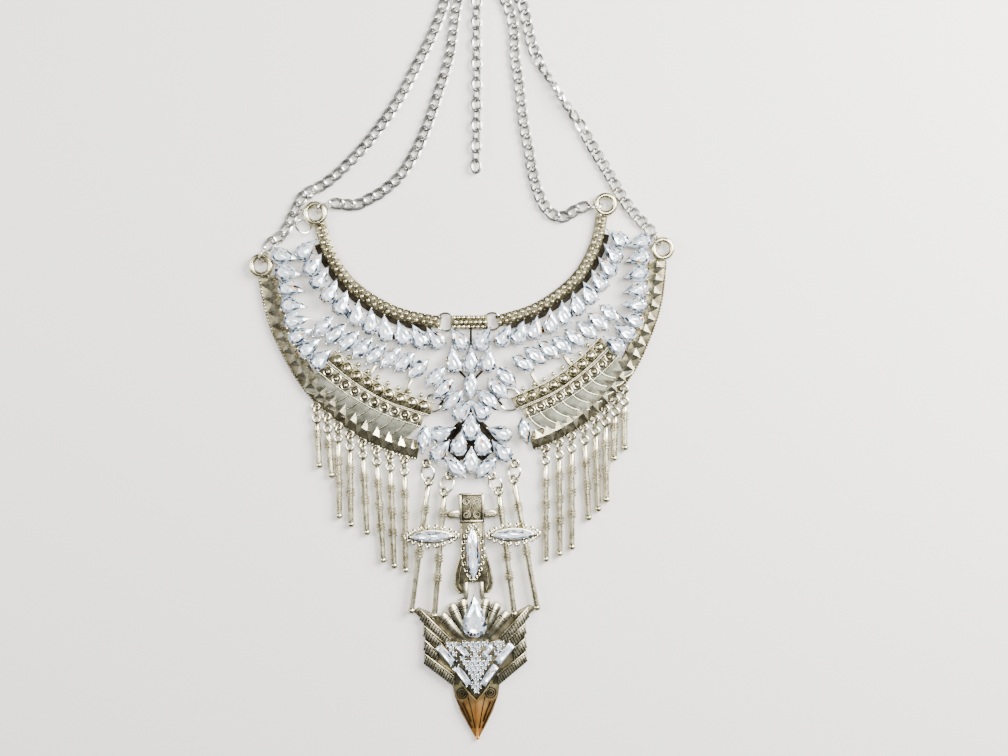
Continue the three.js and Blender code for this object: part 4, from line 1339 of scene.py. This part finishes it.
@dataclass(frozen=True)
class Turning:
    """Sizes of the turned bars, from the eye's middle to the end ball's middle."""

    rod: float = 1.15
    disc: float = 1.8
    disc_half: float = 0.33
    disc_gap: float = 1.15
    end_ball: float = 1.45

    def profile(self, length: float, mouldings: Sequence[float]) -> list[Point]:
        """Draw a bar's profile.

        Args:
            length: From the eye's middle to the end ball's middle in mm.
            mouldings: Distances of the triple discs from the eye's middle in mm.

        Returns:
            Points as (radius, y), with the bar along -Y.
        """
        half = self.disc_half
        points: list[Point] = [(0.0, -1.9), (0.7, -1.95), (self.rod, -2.6)]
        for middle in mouldings:
            for disc in (-1, 0, 1):
                y = -middle - disc * self.disc_gap
                points += [(self.rod, y + half), (self.disc - 0.12, y + half), (self.disc, y + half / 2)]
                points += [(self.disc, y - half / 2), (self.disc - 0.12, y - half), (self.rod, y - half)]
        points.append((self.rod, -length + 0.75 * self.end_ball))
        for angle in (35, 65, 90, 120, 150, 180):
            radius = self.end_ball * math.sin(math.radians(angle))
            points.append((radius, -length + self.end_ball * math.cos(math.radians(angle))))
        return points


@dataclass
class Drops:
    """The eight turned drops under a wing, each with its jump ring."""

    wing: Wing
    leans: tuple[float, ...]
    axis: float = 1.65
    hang: float = 4.8
    rim: float = 1.6
    ring_wire: float = 0.4
    ring_tilt: float = 60.0
    turning: Turning = field(default_factory=Turning)
    kinds: tuple[tuple[float, tuple[float, ...]], ...] = (
        *[(18.5, (6.0,))] * 2,
        *[(31.0, (9.1, 18.2))] * 3,
        *[(39.4, (8.8, 17.6, 26.2))] * 3,
    )

    def build(self) -> None:
        """Hang the drops from the wing's eyes."""
        side = self.wing.side.value
        bars = {kind: turned(self.turning.profile(*kind)) for kind in set(self.kinds)}
        eye = eye_ring()
        ring = Stamp(hoop((self.hang - self.rim) / 2, self.ring_wire, 20, 6))
        for i, ((x, y), kind, lean) in enumerate(zip(self.wing.drop_eyes(), self.kinds, self.leans), 1):
            top = self.wing.place(x, y)
            turn = math.radians(lean)
            foot = (top[0] + self.hang * math.sin(turn), top[1] - self.hang * math.cos(turn))
            base = at(*foot, self.axis, lean)
            piece = Workpiece(base)
            piece.add(bars[kind])
            piece.add(eye)
            piece.add(ring, at(0.0, (self.hang + self.rim) / 2) @ tipped(self.ring_tilt, "Y"))
            piece.finish(f"drop_{side}_{i}_turned", BUFFED_SILVER, [f"drop_{side}_{i}"])


# Leans of the drops in degrees, from the wing's outer end to the centre
DROP_LEANS = {
    Side.LEFT: (2.9, 4.6, 0.7, 0.7, 2.9, 3.7, 2.2, 0.6),
    Side.RIGHT: (0.4, -0.9, 0.8, 2.1, 3.0, 0.2, 0.4, 0.3),
}


@dataclass
class CenterPiece:
    """The centre piece: bead bar, hidden struts, loops and its spray of stones."""

    x: float = -0.4
    y: float = 0.0
    bar_x: float = -0.7
    bar_y: float = 22.3
    bar_length: float = 15.0
    bar_width: float = 5.4
    row_beads: int = 7
    loops: tuple[Point, ...] = ((17.6, -34.1), (8.4, -38.8))
    loop_height: float = 2.75
    struts: tuple[tuple[Point, Point], ...] = (
        ((6.4, 20.6), (6.8, 5.3)),
        ((6.8, 5.3), (0, -2)),
        ((14.4, 0.8), (0, -14)),
        ((0, -13), (16.4, -32.4)),
        ((0, -26), (7.8, -37.2)),
        ((8.6, -6.6), (12.6, -10.8)),
    )

    @property
    def matrix(self) -> Matrix:
        """Place of the centre piece."""
        return at(self.x, self.y)

    @staticmethod
    def pair(gem: Gem) -> list[Gem]:
        """Give a stone and its mirror image."""
        return [gem, replace(gem, x=-gem.x, turn=180 - gem.turn)]

    def gems(self) -> list[Gem]:
        """Give all stones of the centre piece, the lowest first."""
        pears = [
            (3.9, 14, 237), (6.8, 5.3, 264), (4.4, -14, 310),
            (13.2, -22.4, 339), (4.9, -27.6, 282), (13.2, -30.2, 311),
        ]
        navettes = [(14, 0.4, -45), (10.8, -4.2, -45), (7, -8.8, -45)]
        gems = [gem for x, y, turn in pears for gem in self.pair(Gem(Cut.PEAR, x, y, turn))]
        for x, y, turn in navettes:
            gems += self.pair(Gem(Cut.NAVETTE, x, y, turn, *NAVETTE_SIZE))
        gems += self.pair(Gem(Cut.NAVETTE, 6.2, -35.5, 44, *NAVETTE_SIZE, foot=3.45))
        gems += [Gem(Cut.PEAR, 0, 5.4, 270), Gem(Cut.PEAR, 0.2, -34.6, 270)]
        gems.append(Gem(Cut.NAVETTE, 0, -3.2, 90, *NAVETTE_SIZE))
        gems.append(Gem(Cut.PEAR, 0, -21, 270, 7.8, 10.8, cup=1.5, crown=1.3))
        return gems

    def build(self) -> None:
        """Make the metal and set the stones."""
        piece = Workpiece(self.matrix)
        under = Workpiece(self.matrix)
        struts = Workpiece(self.matrix)
        under.add(bar(self.bar_length, self.bar_width, 0.0, 2.3, 0.4), at(self.bar_x, self.bar_y))
        large, small = ball(0.96), ball(0.46, 1)
        for row, up, shift in ((1.75, 2.3, 0.0), (-0.1, 2.5, 0.5), (-1.9, 2.3, 0.0)):
            for i in range(self.row_beads):
                x = self.bar_x - self.bar_length / 2
                x += (i + 0.75 + shift) * self.bar_length / (self.row_beads + 0.9)
                piece.add(large, at(x, self.bar_y + row, up))
                piece.add(small, at(x + 1.0, self.bar_y + row, up + 0.1))
        # The struts are near-black: oxide, and painted shade in the gaps between the stones
        spine = ((0.0, 20.5), (0.0, -36.0))
        mirrored = [((-a[0], a[1]), (-b[0], b[1])) for a, b in self.struts]
        for start, end in (spine, *self.struts, *mirrored):
            struts.add(bar(math.dist(start, end), 0.9, 1.3, 2.4, 0.2), between(start, end))
        # Near-black plate under the lower fan of stones: painted shadow between the stones' cups
        painted_shadow_plate = both_sides([(0, -12), (5, -17.5), (10.4, -22.5), (10.2, -28), (5.4, -32.6)])
        struts.add(slab(painted_shadow_plate, 1.2, 1.9, 0.15))
        struts.finish("center_struts", BLACK_OXIDE_AND_SHADE, ["center_frame"])
        under.finish("center_bar_field", DARK_OXIDE, ["center_frame"])
        eye = eye_ring()
        for way in (-1, 1):
            for x, y in self.loops:
                piece.add(eye, at(way * x, y, self.loop_height))
        piece.finish("center_casting", ANTIQUE_SILVER, ["center_frame"])
        StoneField("center", "center_stones", self.gems(), self.matrix).build()


@dataclass
class Pendant:
    """The long pendant: plaque, body, marquise plates, bars, feathered arrow, stones and beak."""

    x: float = 0.0
    y: float = -51.6
    turn: float = 1.4
    node: str = "pendant_frame"
    loop_height: float = 2.75
    bars: tuple[tuple[Point, Point, tuple[float, ...]], ...] = (
        ((16.9, 10.9), (25.0, -40.4), (11.2, 29.0)),
        ((10.8, 6.4), (15.9, -42.6), (8.2, 26.2, 34.0)),
    )
    plaque: Point = (9.6, 11.4)
    rim_width: float = 0.9
    rim_heights: Point = (2.9, 3.7)
    scroll_steps: int = 23
    scroll_turn: float = 26.0
    body_loops: int = 24
    plate_middle: Point = (16.2, -10.9)
    plate_size: Point = (5.6, 19.0)
    plate_loops: int = 20
    pave_rows: int = 11
    pave_pitch: Point = (2.1, 1.85)
    rays: tuple[Point, ...] = ((13.6, -41.8), (9.6, -38.0), (5.0, -36.0))
    ray_origin: float = -57.2
    feathers: tuple[tuple[Point, Point, int], ...] = (
        ((21.4, -40.2), (9.6, -52.4), 14),
        ((20.2, -46.6), (13.2, -53.0), 8),
        ((20.2, -52.2), (15.0, -57.2), 6),
        ((20.2, -57.8), (8.6, -67.0), 14),
    )
    turning: Turning = field(default_factory=Turning)

    @property
    def matrix(self) -> Matrix:
        """Place of the pendant."""
        return at(self.x, self.y, 0.0, self.turn)

    def place(self, x: float, y: float) -> Point:
        """Give a point of the pendant as measured on the whole necklace."""
        spot = self.matrix @ Vector((x, y, 0.0))
        return spot.x, spot.y

    def build(self) -> None:
        """Make the pendant."""
        self.build_plaque()
        self.build_plates()
        self.build_arrow()
        self.build_beak()
        self.build_stones()
        self.build_pave()

    def build_plaque(self) -> None:
        """Make the scrolled plaque with its ears, and the flared body under it."""
        piece = Workpiece(self.matrix)
        under = Workpiece(self.matrix)
        ear = ((4.6, -4.2), (8.6, -4.2), (9.9, -3.4), (10.2, -2.6), (9.9, -1.8), (8.6, -1.0), (4.6, -1.0))
        stem = ((0.4, 4.4), (0.9, 2.2), (0.3, 0.2), (1.2, -1.0), (0.5, -3.6))
        under.add(bar(*self.plaque, 0.4, 3.0, 0.2))
        for y in (5.35, -5.35):
            piece.add(bar(self.plaque[0] + 0.2, self.rim_width, *self.rim_heights, 0.2), at(0, y))
        for x in (-4.45, 4.45):
            piece.add(bar(self.plaque[1] + 0.2, self.rim_width, *self.rim_heights, 0.2), at(x, 0, 0, 90))
        for way in (-1, 1):
            for y, spin, reach in ((2.6, 1, 1.5), (-2.7, -1, 1.6)):
                coil = []
                for i in range(self.scroll_steps):
                    angle = math.radians(90 - spin * way * self.scroll_turn * i)
                    radius = reach * (1 - 0.032 * i)
                    x = way * 2.1 + radius * math.cos(angle)
                    coil.append(Vector((x, y + radius * math.sin(angle), 3.25)))
                piece.add(wire(coil, 0.34))
            piece.add(wire([Vector((way * x, y, 3.2)) for x, y in stem], 0.25))
            piece.add(slab([(way * x, y) for x, y in ear], 0.8, 2.8, 0.35, dish=0.2))
        body = [
            (4.8, -5.6), (4.8, -16.6), (6.4, -22.4), (7.6, -27.4), (7.8, -30.4),
            (7.4, -32.6), (5.8, -34.2), (3.4, -34.2), (3.4, -31.0), (2.2, -29.6),
        ]
        under.add(slab(both_sides(body), 0.4, 2.5, 0.25))
        outer = (
            (4.5, -6.0), (4.5, -16.6), (6.2, -22.6), (7.3, -27.6), (7.5, -30.4), (7.0, -32.4), (5.8, -33.8),
        )
        inner = ((3.3, -17.4), (4.7, -22.8), (5.7, -27.8), (5.8, -30.6), (5.0, -32.6))
        post = (
            (2.2, -29.6), (3.9, -29.6), (4.3, -34.8), (4.1, -36.2),
            (3.2, -36.9), (2.4, -36.2), (2.2, -34.8),
        )
        for way in (-1, 1):
            for rim, thick in ((outer, 0.42), (inner, 0.25)):
                track = Line([(way * x, y) for x, y in rim])
                piece.add(wire([track.point(i / 14) + Vector((0, 0, 2.55)) for i in range(15)], thick))
            piece.add(slab([(way * x, y) for x, y in post], 0.5, 3.0, 0.4))
        loop = Stamp(hoop(0.66, 0.28, 12, 6))
        for i in range(self.body_loops):
            along, across = Cut.NAVETTE.point((i + 0.5) / self.body_loops, 8.2, 22.0)
            piece.add(loop, at(across, -18.0 + along, 3.1))
        piece.add(ball(0.95, 2), at(0.0, -28.6, 3.0))
        piece.finish("pendant_body", ANTIQUE_SILVER, [self.node])
        under.finish("pendant_fields", DARK_OXIDE, [self.node])

    def build_plates(self) -> None:
        """Make the two marquise plates with looped edges, and the four turned bars that they bridge."""
        piece = Workpiece(self.matrix)
        lens = [Cut.NAVETTE.point(i / 32, *self.plate_size) for i in range(32)]
        leaf = slab(lens, 3.4, 4.4, 0.3, dish=0.2)
        loop = Stamp(hoop(0.6, 0.42, 14, 6))
        for way in (-1, 1):
            x, y = self.plate_middle
            piece.add(leaf, at(way * x, y))
            piece.add(bar(13.6, 1.8, 2.4, 3.6, 0.2), at(way * 15.2, y))
            for i in range(self.plate_loops):
                px, py = Cut.NAVETTE.point((i + 0.5) / self.plate_loops, 7.6, 20.4)
                piece.add(loop, at(way * x + px, y + py, 3.95))
            for (top_x, top_y), (end_x, end_y), mouldings in self.bars:
                length = math.dist((top_x, top_y), (end_x, end_y))
                lean = math.degrees(math.atan2(end_x - top_x, top_y - end_y))
                rod = turned(self.turning.profile(length, mouldings))
                piece.add(rod, at(way * top_x, top_y, self.loop_height, way * lean))
                piece.add(eye_ring(), at(way * top_x, top_y, self.loop_height))
        piece.finish("pendant_plates_and_bars", BUFFED_SILVER, [self.node])

    def build_arrow(self) -> None:
        """Make the arrow plate with its six rays and its ribbed feathers."""
        piece = Workpiece(self.matrix)
        lines = Workpiece(self.matrix)
        half = [
            (11, -43.4), (15.6, -42.6), (22.2, -39.4), (24.6, -40.6), (21, -44), (20.2, -46.6),
            (19.8, -53), (20.4, -58.6), (20, -62), (9.2, -69.8), (0, -74),
        ]
        under = Workpiece(self.matrix)
        under.add(slab(both_sides(half), 0.6, 1.9, 0.2))
        under.finish("pendant_arrow_field", DARK_OXIDE, [self.node])
        for way in (-1, 1):
            for x, y in self.rays:
                length = math.dist((x, y), (0.0, self.ray_origin))
                turn = -way * math.degrees(math.atan2(x, y - self.ray_origin))
                edge = [(1.2, 5.5), (1.95, length - 2.8), (1.85, length - 1.3), (1.2, length - 0.35)]
                edge = [(-1.2, 5.5), *edge, (0, length), *[(-x, y) for x, y in reversed(edge[1:])]]
                base = at(0.0, self.ray_origin, 0.0, turn)
                piece.add(slab(edge, 0.6, 3.2, 0.75), base)
                for line in (3.2, 4.1):
                    lines.add(bar(3.6, 0.32, 2.6, 3.38, 0.08), base @ at(0.0, length - line))
            for start, end, ribs in self.feathers:
                a, b = Vector((way * start[0], start[1], 0.0)), Vector((way * end[0], end[1], 0.0))
                piece.add(bar((b - a).length, 0.7, 1.8, 3.5, 0.2), between(a.to_2d(), b.to_2d()))
                fall = Vector((way * 0.9, -4.0, 0.0))
                low = [(point.x + 0.3 * fall.x, point.y + fall.y) for point in (b, a)]
                piece.add(slab([(a.x, a.y), (b.x, b.y), *low], 1.2, 2.9, 0.2))
                for i in range(ribs):
                    spot = a.lerp(b, (i + 0.5) / ribs)
                    place = at(spot.x + way * 0.2, spot.y - 2.2, 0.0, 90 + way * 24)
                    lines.add(bar(3.2, 0.34, 2.3, 3.0, 0.08), place)
        piece.finish("pendant_arrow", ANTIQUE_SILVER, [self.node])
        lines.finish("pendant_arrow_lines", BLACK_OXIDE_AND_SHADE, [self.node])

    def build_beak(self) -> None:
        """Make the pointed beak with its rim, spirals and grooves."""
        piece = Workpiece(self.matrix)
        engraved = Workpiece(self.matrix)
        flank = [
            (0, -74.0), (5.6, -69.4), (9.0, -68.4), (9.3, -71.4), (8.6, -75.4),
            (6.4, -81.4), (3.4, -87.2), (0.8, -91.6), (0, -92.2),
        ]
        for way in (-1, 1):
            low = [Vector((way * x, y, 0.6)) for x, y in flank]
            rise = [2.6, 2.0, 1.6, 1.4, 1.4, 1.4, 1.3, 1.5, 1.8]
            high = [Vector((way * x, y, up)) for (x, y), up in zip(flank, rise)]
            shape = lofted([low, high])
            lid = max(shape.faces, key=lambda face: face.calc_center_median().z)
            crest = bmesh.ops.poke(shape, faces=[lid], offset=0.0)["verts"][0]
            crest.co = Vector((way * 3.2, -77.5, 2.5))
            piece.add(Stamp(shape))
            for radius, thick in ((2.1, 0.24), (1.2, 0.24), (0.35, 0.3)):
                ring = Stamp(hoop(radius, thick, 20, 6))
                engraved.add(ring, at(way * 5.7, -73.9, 2.2) @ tipped(way * 14, "Y"))
            for target, thick, height, fall, track in (
                (piece, 0.45, 2.75, 0.0, [(5.8, -69.8), (3.0, -73.6), (0.0, -77.0)]),
                (engraved, 0.24, 2.45, 0.45, [(3.4, -75.4), (2.2, -80.4), (0.9, -88.0)]),
                (engraved, 0.24, 2.45, 0.45, [(7.6, -76.6), (4.9, -82.4), (2.2, -88.0)]),
                (engraved, 0.24, 2.45, 0.45, [(5.6, -77.4), (3.9, -81.4), (2.4, -85.4)]),
            ):
                line = Line([(way * x, y) for x, y in track])
                points = [line.point(i / 10) + Vector((0, 0, height - fall * i / 10)) for i in range(11)]
                target.add(wire(points, thick))
        ridge = [Vector((0.0, -77.0 - 1.5 * i, 2.75 - 0.09 * i)) for i in range(11)]
        piece.add(wire(ridge, 0.4))
        piece.add(ball(0.95, 2), at(0.0, -92.0, 1.1))
        piece.finish("pendant_beak", TIP_METAL, [self.node])
        engraved.finish("pendant_beak_lines", BLACK_OXIDE_AND_SHADE, [self.node])

    def build_stones(self) -> None:
        """Set the four large stones."""
        x, y = self.plate_middle
        long_gem = Gem(Cut.NAVETTE, 0, -18, 90, 5.6, 20, 3.1, 0.8, 1.0, sides=16)
        StoneField("plate", "plate_stone", [long_gem], self.matrix).build()
        for side, way in (("left", -1), ("right", 1)):
            gem = Gem(Cut.NAVETTE, way * x, y, 0, 4.2, 17, 4.5, 0.5, 0.9, sides=16)
            StoneField(f"bar_{side}", f"bar_stone_{side}", [gem], self.matrix).build()
        pear = Gem(Cut.PEAR, 0, -46.6, 270, 9.6, 16.6, 3.3, 1.2, 1.4, sides=16)
        StoneField("pendant_pear", "pendant_pear_stone", [pear], self.matrix, claw_radius=0.5).build()

    def pave_rounds(self, baguettes: Sequence[Gem]) -> list[Point]:
        """Fill the shield between the baguettes with a close grid of small rounds.

        Args:
            baguettes: The baguettes that the rounds leave free.

        Returns:
            The middles of the rounds.
        """
        across, down = self.pave_pitch
        spots = []
        for row in range(self.pave_rows):
            for column in range(-6, 7):
                x, y = across * (column + 0.5 * (row % 2)), -54.2 - down * row
                taken = False
                for gem in baguettes:
                    spot = gem.matrix.inverted() @ Vector((x, y, 0.0))
                    taken |= abs(spot.x) < gem.length / 2 + 0.6 and abs(spot.y) < gem.width / 2 + 0.75
                if not taken and abs(x) < min(12.0, 0.74 * (76.0 + y) - 0.9):
                    spots.append((x, y))
        return spots

    def build_pave(self) -> None:
        """Set the shield of baguettes and small rounds."""
        metal = Workpiece(self.matrix)
        under = Workpiece(self.matrix)
        under.add(slab(both_sides([(0, -55.2), (9.6, -52.6), (15, -57.2), (0, -76)]), 2.3, 3.1, 0.2))
        under.finish("pave_field", DARK_OXIDE, ["pendant_pave"])
        stones = Workpiece(self.matrix)
        pin = claw(1.2, 0.3)
        gems = []
        baguettes = ((11.6, -58.2, 50, 9.6, 3.2), (5.3, -66.6, 53, 9.4, 3.0), (4.9, -56.8, 48, 6.2, 2.7))
        for x, y, turn, length, width in baguettes:
            for way in (-1, 1):
                gem = Gem(Cut.BAGUETTE, way * x, y, way * turn, width, length, 3.1, 0.4, 1.1, sides=8)
                gems.append(gem)
        rounds = self.pave_rounds(gems)
        gems += [Gem(Cut.ROUND, x, y, 0, 2.2, 2.2, 3.1, 0.5, 0.9, sides=8) for x, y in rounds]
        for gem in gems:
            set_gem(gem, stones, metal, pin, sunk=0.3)
        stones.finish("pave_crystals", CUT_CRYSTAL, ["pendant_pave"])
        metal.finish("pave_settings", BRIGHT_WIRE, ["pendant_pave"])


@dataclass
class Links:
    """The wire rings that join wings, centre piece, pendant and chains."""

    wings: dict[Side, Wing]
    center: CenterPiece
    pendant: Pendant
    link_wire: float = 0.52
    link_height: float = 1.3
    jump_wire: float = 0.42
    jump_tilt: float = 42.0
    chain_ring: tuple[float, float, float, float] = (2.3, 0.46, 3.6, 60.0)
    loose_ring: tuple[Point, float] = ((-67.2, 60.4), 3.1)
    end_ring_height: float = 2.35

    def ring(self, name: str, start: Point, end: Point, thick: float, tilt: float, height: float) -> None:
        """Make one ring through two points.

        Args:
            name: Name of its CAD node.
            start: Where the wire's middle line passes first, in mm.
            end: Where it passes at the other end, in mm.
            thick: Radius of the wire in mm.
            tilt: Turn about the line between the points, in degrees.
            height: Height of the ring's middle in mm.
        """
        piece = Workpiece()
        radius = math.dist(start, end) / 2
        raised = between(start, end) @ Matrix.Translation((0.0, 0.0, height))
        place = raised @ tipped(-90, "Z") @ tipped(tilt, "Y")
        piece.add(Stamp(hoop(radius, thick, 32, 8)), place)
        piece.finish(f"{name}_wire", BRIGHT_WIRE, [name])

    def build(self) -> None:
        """Make all rings."""
        turns = {
            ("outer", Side.LEFT): 74,
            ("inner", Side.LEFT): 35,
            ("inner", Side.RIGHT): 183,
            ("outer", Side.RIGHT): 121,
        }
        for side, way in ((Side.LEFT, -1), (Side.RIGHT, 1)):
            wing, name = self.wings[side], side.value
            seat = (self.center.x + self.center.bar_x + way * 5.85, self.center.y + self.center.bar_y)
            lower = (self.center.x + way * 11.6, self.center.y - 10.0)
            for kind, spot, other in (("collar", (-0.9, -0.1), seat), ("lower", (-5.6, -32.4), lower)):
                start = wing.place(*spot)
                self.ring(f"{kind}_link_{name}", start, other, self.link_wire, 0.0, self.link_height)
            for i, ((x, y), (bar_top, _, _)) in enumerate(zip(self.center.loops, self.pendant.bars), 1):
                top = (self.center.x + way * x, self.center.y + y)
                foot = self.pendant.place(way * bar_top[0], bar_top[1])
                height = self.center.loop_height
                self.ring(f"pendant_ring_{name}_{i}", top, foot, self.jump_wire, self.jump_tilt, height)
            for row, (x, y) in zip(("outer", "inner"), wing.end_rings):
                radius, thick, offset, tilt = self.chain_ring
                middle = wing.place(x, y)
                turn = math.radians(turns[row, side])
                ends = [
                    (middle[0] + reach * math.cos(turn), middle[1] + reach * math.sin(turn))
                    for reach in (offset - radius, offset + radius)
                ]
                self.ring(f"chain_ring_{row}_{name}", ends[0], ends[1], thick, tilt, self.end_ring_height)
        self.build_loose_ring()

    def build_loose_ring(self) -> None:
        """Add the spare jump ring that hangs in the left wing's inner end ring."""
        (x, y), radius = self.loose_ring
        piece = Workpiece()
        piece.add(Stamp(hoop(radius, self.jump_wire, 32, 8)), at(x, y, 2.5, 47) @ tipped(38, "Y"))
        piece.finish("loose_jump_ring_wire", BRIGHT_WIRE, ["wing_frame_left"])


@dataclass
class Chain:
    """One run of chain, link by link."""

    node: str
    route: list[Point]
    pitch: float = 4.5
    half_width: float = 1.75
    thick: float = 0.7
    twist: float = 0.52
    height: float = 1.25
    alternate_tilt: float = 0.0
    twisted: Point | None = None
    full_twist: float = 82.0
    twist_rise: float = 1.1
    beads: tuple[tuple[float, float, float], ...] = ()

    def twist_at(self, share: float) -> float:
        """Give how far the chain is turned over at one place.

        Args:
            share: The place, as a share of the chain's length.

        Returns:
            The turn about the chain's line, in degrees.
        """
        if self.twisted is None:
            return 0.0
        start, end = self.twisted
        if not start < share < end:
            return 0.0
        return self.full_twist * math.sin(math.pi * (share - start) / (end - start))

    def build(self) -> None:
        """Lay the links along the route."""
        line = Line(self.route)
        count = round(line.length / self.pitch)
        pitch = line.length / count
        twist = 0.0 if self.alternate_tilt else self.twist
        link = oval_link(pitch / 2 + self.thick, self.half_width, self.thick, twist)
        piece = Workpiece()
        for i in range(count):
            share = (i + 0.5) / count
            tilt = self.alternate_tilt * (i % 2) + self.twist_at(share)
            rise = self.twist_rise * math.sin(math.radians(self.twist_at(share)))
            piece.add(link, line.station(share).matrix(0.0, self.height + rise) @ tipped(tilt, "X"))
        for x, y, radius in self.beads:
            piece.add(ball(radius, 3), at(x, y, radius + 0.5))
        piece.finish(f"{self.node}_links", CHAIN_WIRE, [self.node], sharp=60.0)


# Routes of the chains, from the wings to the end rings
CHAINS = [
    Chain(
        "chain_outer_left",
        [
            (-82, 51.5), (-79.8, 54.4), (-76.4, 56.6), (-73.8, 60.4), (-71.4, 65.2), (-69.6, 69),
            (-67.2, 72.8), (-64, 74.8), (-59.6, 77), (-53.6, 81.6), (-45.2, 90), (-36.4, 100.8),
            (-28.6, 112.4), (-22.4, 124), (-17.8, 132.8), (-14, 141.2), (-11, 149.6), (-9.6, 155.2),
            (-8.9, 160), (-8.6, 164.2),
        ],
        beads=((-64.4, 72.6, 1.4), (-63.2, 69.2, 0.7)),
    ),
    Chain(
        "chain_inner_left",
        [
            (-56.3, 69.9), (-52, 69.4), (-46, 69.2), (-40.8, 71.6), (-36.4, 74), (-29.4, 80),
            (-24, 87.8), (-19.6, 96.4), (-16.4, 104.8), (-13.6, 113.2), (-10.8, 122), (-8.4, 131.2),
            (-7.2, 140.4), (-5.8, 149.6), (-4.2, 156.4), (-3.4, 161.2), (-3.2, 164.1),
        ],
    ),
    Chain(
        "chain_inner_right",
        [
            (9.2, 166), (10, 160), (11.6, 154.8), (13.9, 149.6), (15.8, 144), (16.8, 138),
            (17.2, 128.4), (18.4, 120), (19.6, 110.6), (20.8, 101.2), (22.8, 90.8), (24, 83.2),
            (26, 75.6), (28.8, 69), (33.2, 64.8), (37.6, 64.6), (41.6, 67.2), (46.3, 68.8),
        ],
    ),
    Chain(
        "chain_outer_right",
        [
            (14, 167.2), (15.1, 164), (16.2, 159.2), (18.2, 153.6), (20.4, 148), (22, 141.6),
            (23.8, 133.6), (26.8, 126.2), (32.4, 117.2), (37.2, 109.6), (42.8, 101.6), (48.6, 91.6),
            (54.4, 82), (59.6, 72.8), (64.8, 65.6), (69.2, 61), (72.4, 57.6),
        ],
        twisted=(0.3, 0.62),
    ),
    Chain(
        "extension_chain",
        [(4.5, 167.9), (2.8, 159.2), (2, 151.2), (2, 115.2), (1.6, 82.4)],
        pitch=4.06,
        half_width=1.75,
        thick=0.62,
        height=2.02,
        alternate_tilt=50.0,
    ),
]


@dataclass
class Closing:
    """The two end rings and the plain clasp at the back of the neck."""

    rings: tuple[tuple[str, Point], ...] = (
        ("end_ring_left", (-5.6, 168.8)),
        ("end_ring_right", (10.0, 171.2)),
    )
    radius: float = 3.9
    thick: float = 0.5
    height: float = 1.2
    clasp: str = "clasp"

    def build(self) -> None:
        """Bend the end rings and dress the clasp."""
        ring = Stamp(hoop(self.radius, self.thick, 36, 8))
        for name, (x, y) in self.rings:
            piece = Workpiece(at(x, y, self.height))
            piece.add(ring)
            piece.finish(f"{name}_wire", BRIGHT_WIRE, [name])
        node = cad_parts[self.clasp]
        node.data.materials.clear()
        node.data.materials.append(material_of(BRIGHT_WIRE))
        LOG.info("%s: dressed", self.clasp)


@dataclass(frozen=True)
class Studio:
    """Pale floor, soft panels of light and the camera straight above."""

    floor_colour: str = "#e9e6e0"
    floor_size: float = 3.0
    world_colour: str = "#8f969e"
    world_strength: float = 0.34
    panels: tuple[tuple[str, tuple[float, float, float], float, float], ...] = (
        ("key_panel", (0.5, 0.25, 0.42), 0.45, 21.0),
        ("top_panel", (0.13, 0.13, 0.95), 0.36, 9.0),
        ("left_panel", (-0.5, 0.1, 0.42), 0.26, 4.0),
    )

    def build(self) -> None:
        """Set up the studio."""
        self.build_floor()
        self.build_lights()
        self.build_camera()

    def build_floor(self) -> None:
        """Lay a pale matt card."""
        shape = bmesh.new()
        bmesh.ops.create_grid(shape, x_segments=1, y_segments=1, size=self.floor_size / 2)
        data = bpy.data.meshes.new("floor")
        shape.to_mesh(data)
        shape.free()
        material, tree = new_material("pale_matt_card")
        where = add_node(tree, "ShaderNodeTexCoord")
        fine = {"Scale": 900.0, "Detail": 2.0}
        fibre = add_node(tree, "ShaderNodeTexNoise", fine, {"Vector": where.outputs["Object"]})
        colour = add_ramp(tree, [(0.3, "#e4e1da"), (0.7, self.floor_colour)], fibre.outputs["Fac"])
        add_surface(tree, {"Roughness": 0.85}, {"Base Color": colour})
        data.materials.append(material)
        floor = show("floor", data)

    def build_lights(self) -> None:
        """Hang the panels and set the dim room."""
        for name, spot, size, power in self.panels:
            lamp = bpy.data.lights.new(name, "AREA")
            lamp.shape = "SQUARE"
            lamp.size = size
            lamp.energy = power
            panel = show(name, lamp)
            panel.location = spot
            panel.rotation_euler = (-Vector(spot)).to_track_quat("-Z", "Y").to_euler()
        world = bpy.data.worlds.new("studio")
        world.use_nodes = True
        world.node_tree.nodes.clear()
        glow = add_node(
            world.node_tree,
            "ShaderNodeBackground",
            {"Color": linear(self.world_colour), "Strength": self.world_strength},
        )
        add_node(world.node_tree, "ShaderNodeOutputWorld", links={"Surface": glow.outputs["Background"]})
        bpy.context.scene.world = world

    def build_camera(self) -> None:
        """Point the camera straight down at the middle of the photograph's frame."""
        lens = bpy.data.cameras.new("camera")
        lens.lens = LENS_MM
        lens.sensor_width = SENSOR_MM
        lens.clip_start = 0.01
        camera = show("camera", lens)
        height = PHOTO_WIDTH * MM_PER_PIXEL * LENS_MM / SENSOR_MM
        camera.location = ((VIEW_CENTER[0] + SHIFT[0]) * MM, (VIEW_CENTER[1] + SHIFT[1]) * MM, height * MM)
        bpy.context.scene.camera = camera


def main() -> None:
    """Build the necklace and its studio."""
    logging.basicConfig(level=logging.INFO, format="%(name)s: %(message)s")
    Studio().build()
    wings = {
        Side.LEFT: Wing(Side.LEFT, -13.2, 22.4, 0.0, 1.0),
        Side.RIGHT: Wing(Side.RIGHT, 10.7, 22.9, 6.1, 0.96),
    }
    for side, wing in wings.items():
        wing.build()
        Drops(wing, DROP_LEANS[side]).build()
    center = CenterPiece()
    center.build()
    pendant = Pendant()
    pendant.build()
    Links(wings, center, pendant).build()
    for chain in CHAINS:
        chain.build()
    Closing().build()


if __name__ == "__main__":
    main()
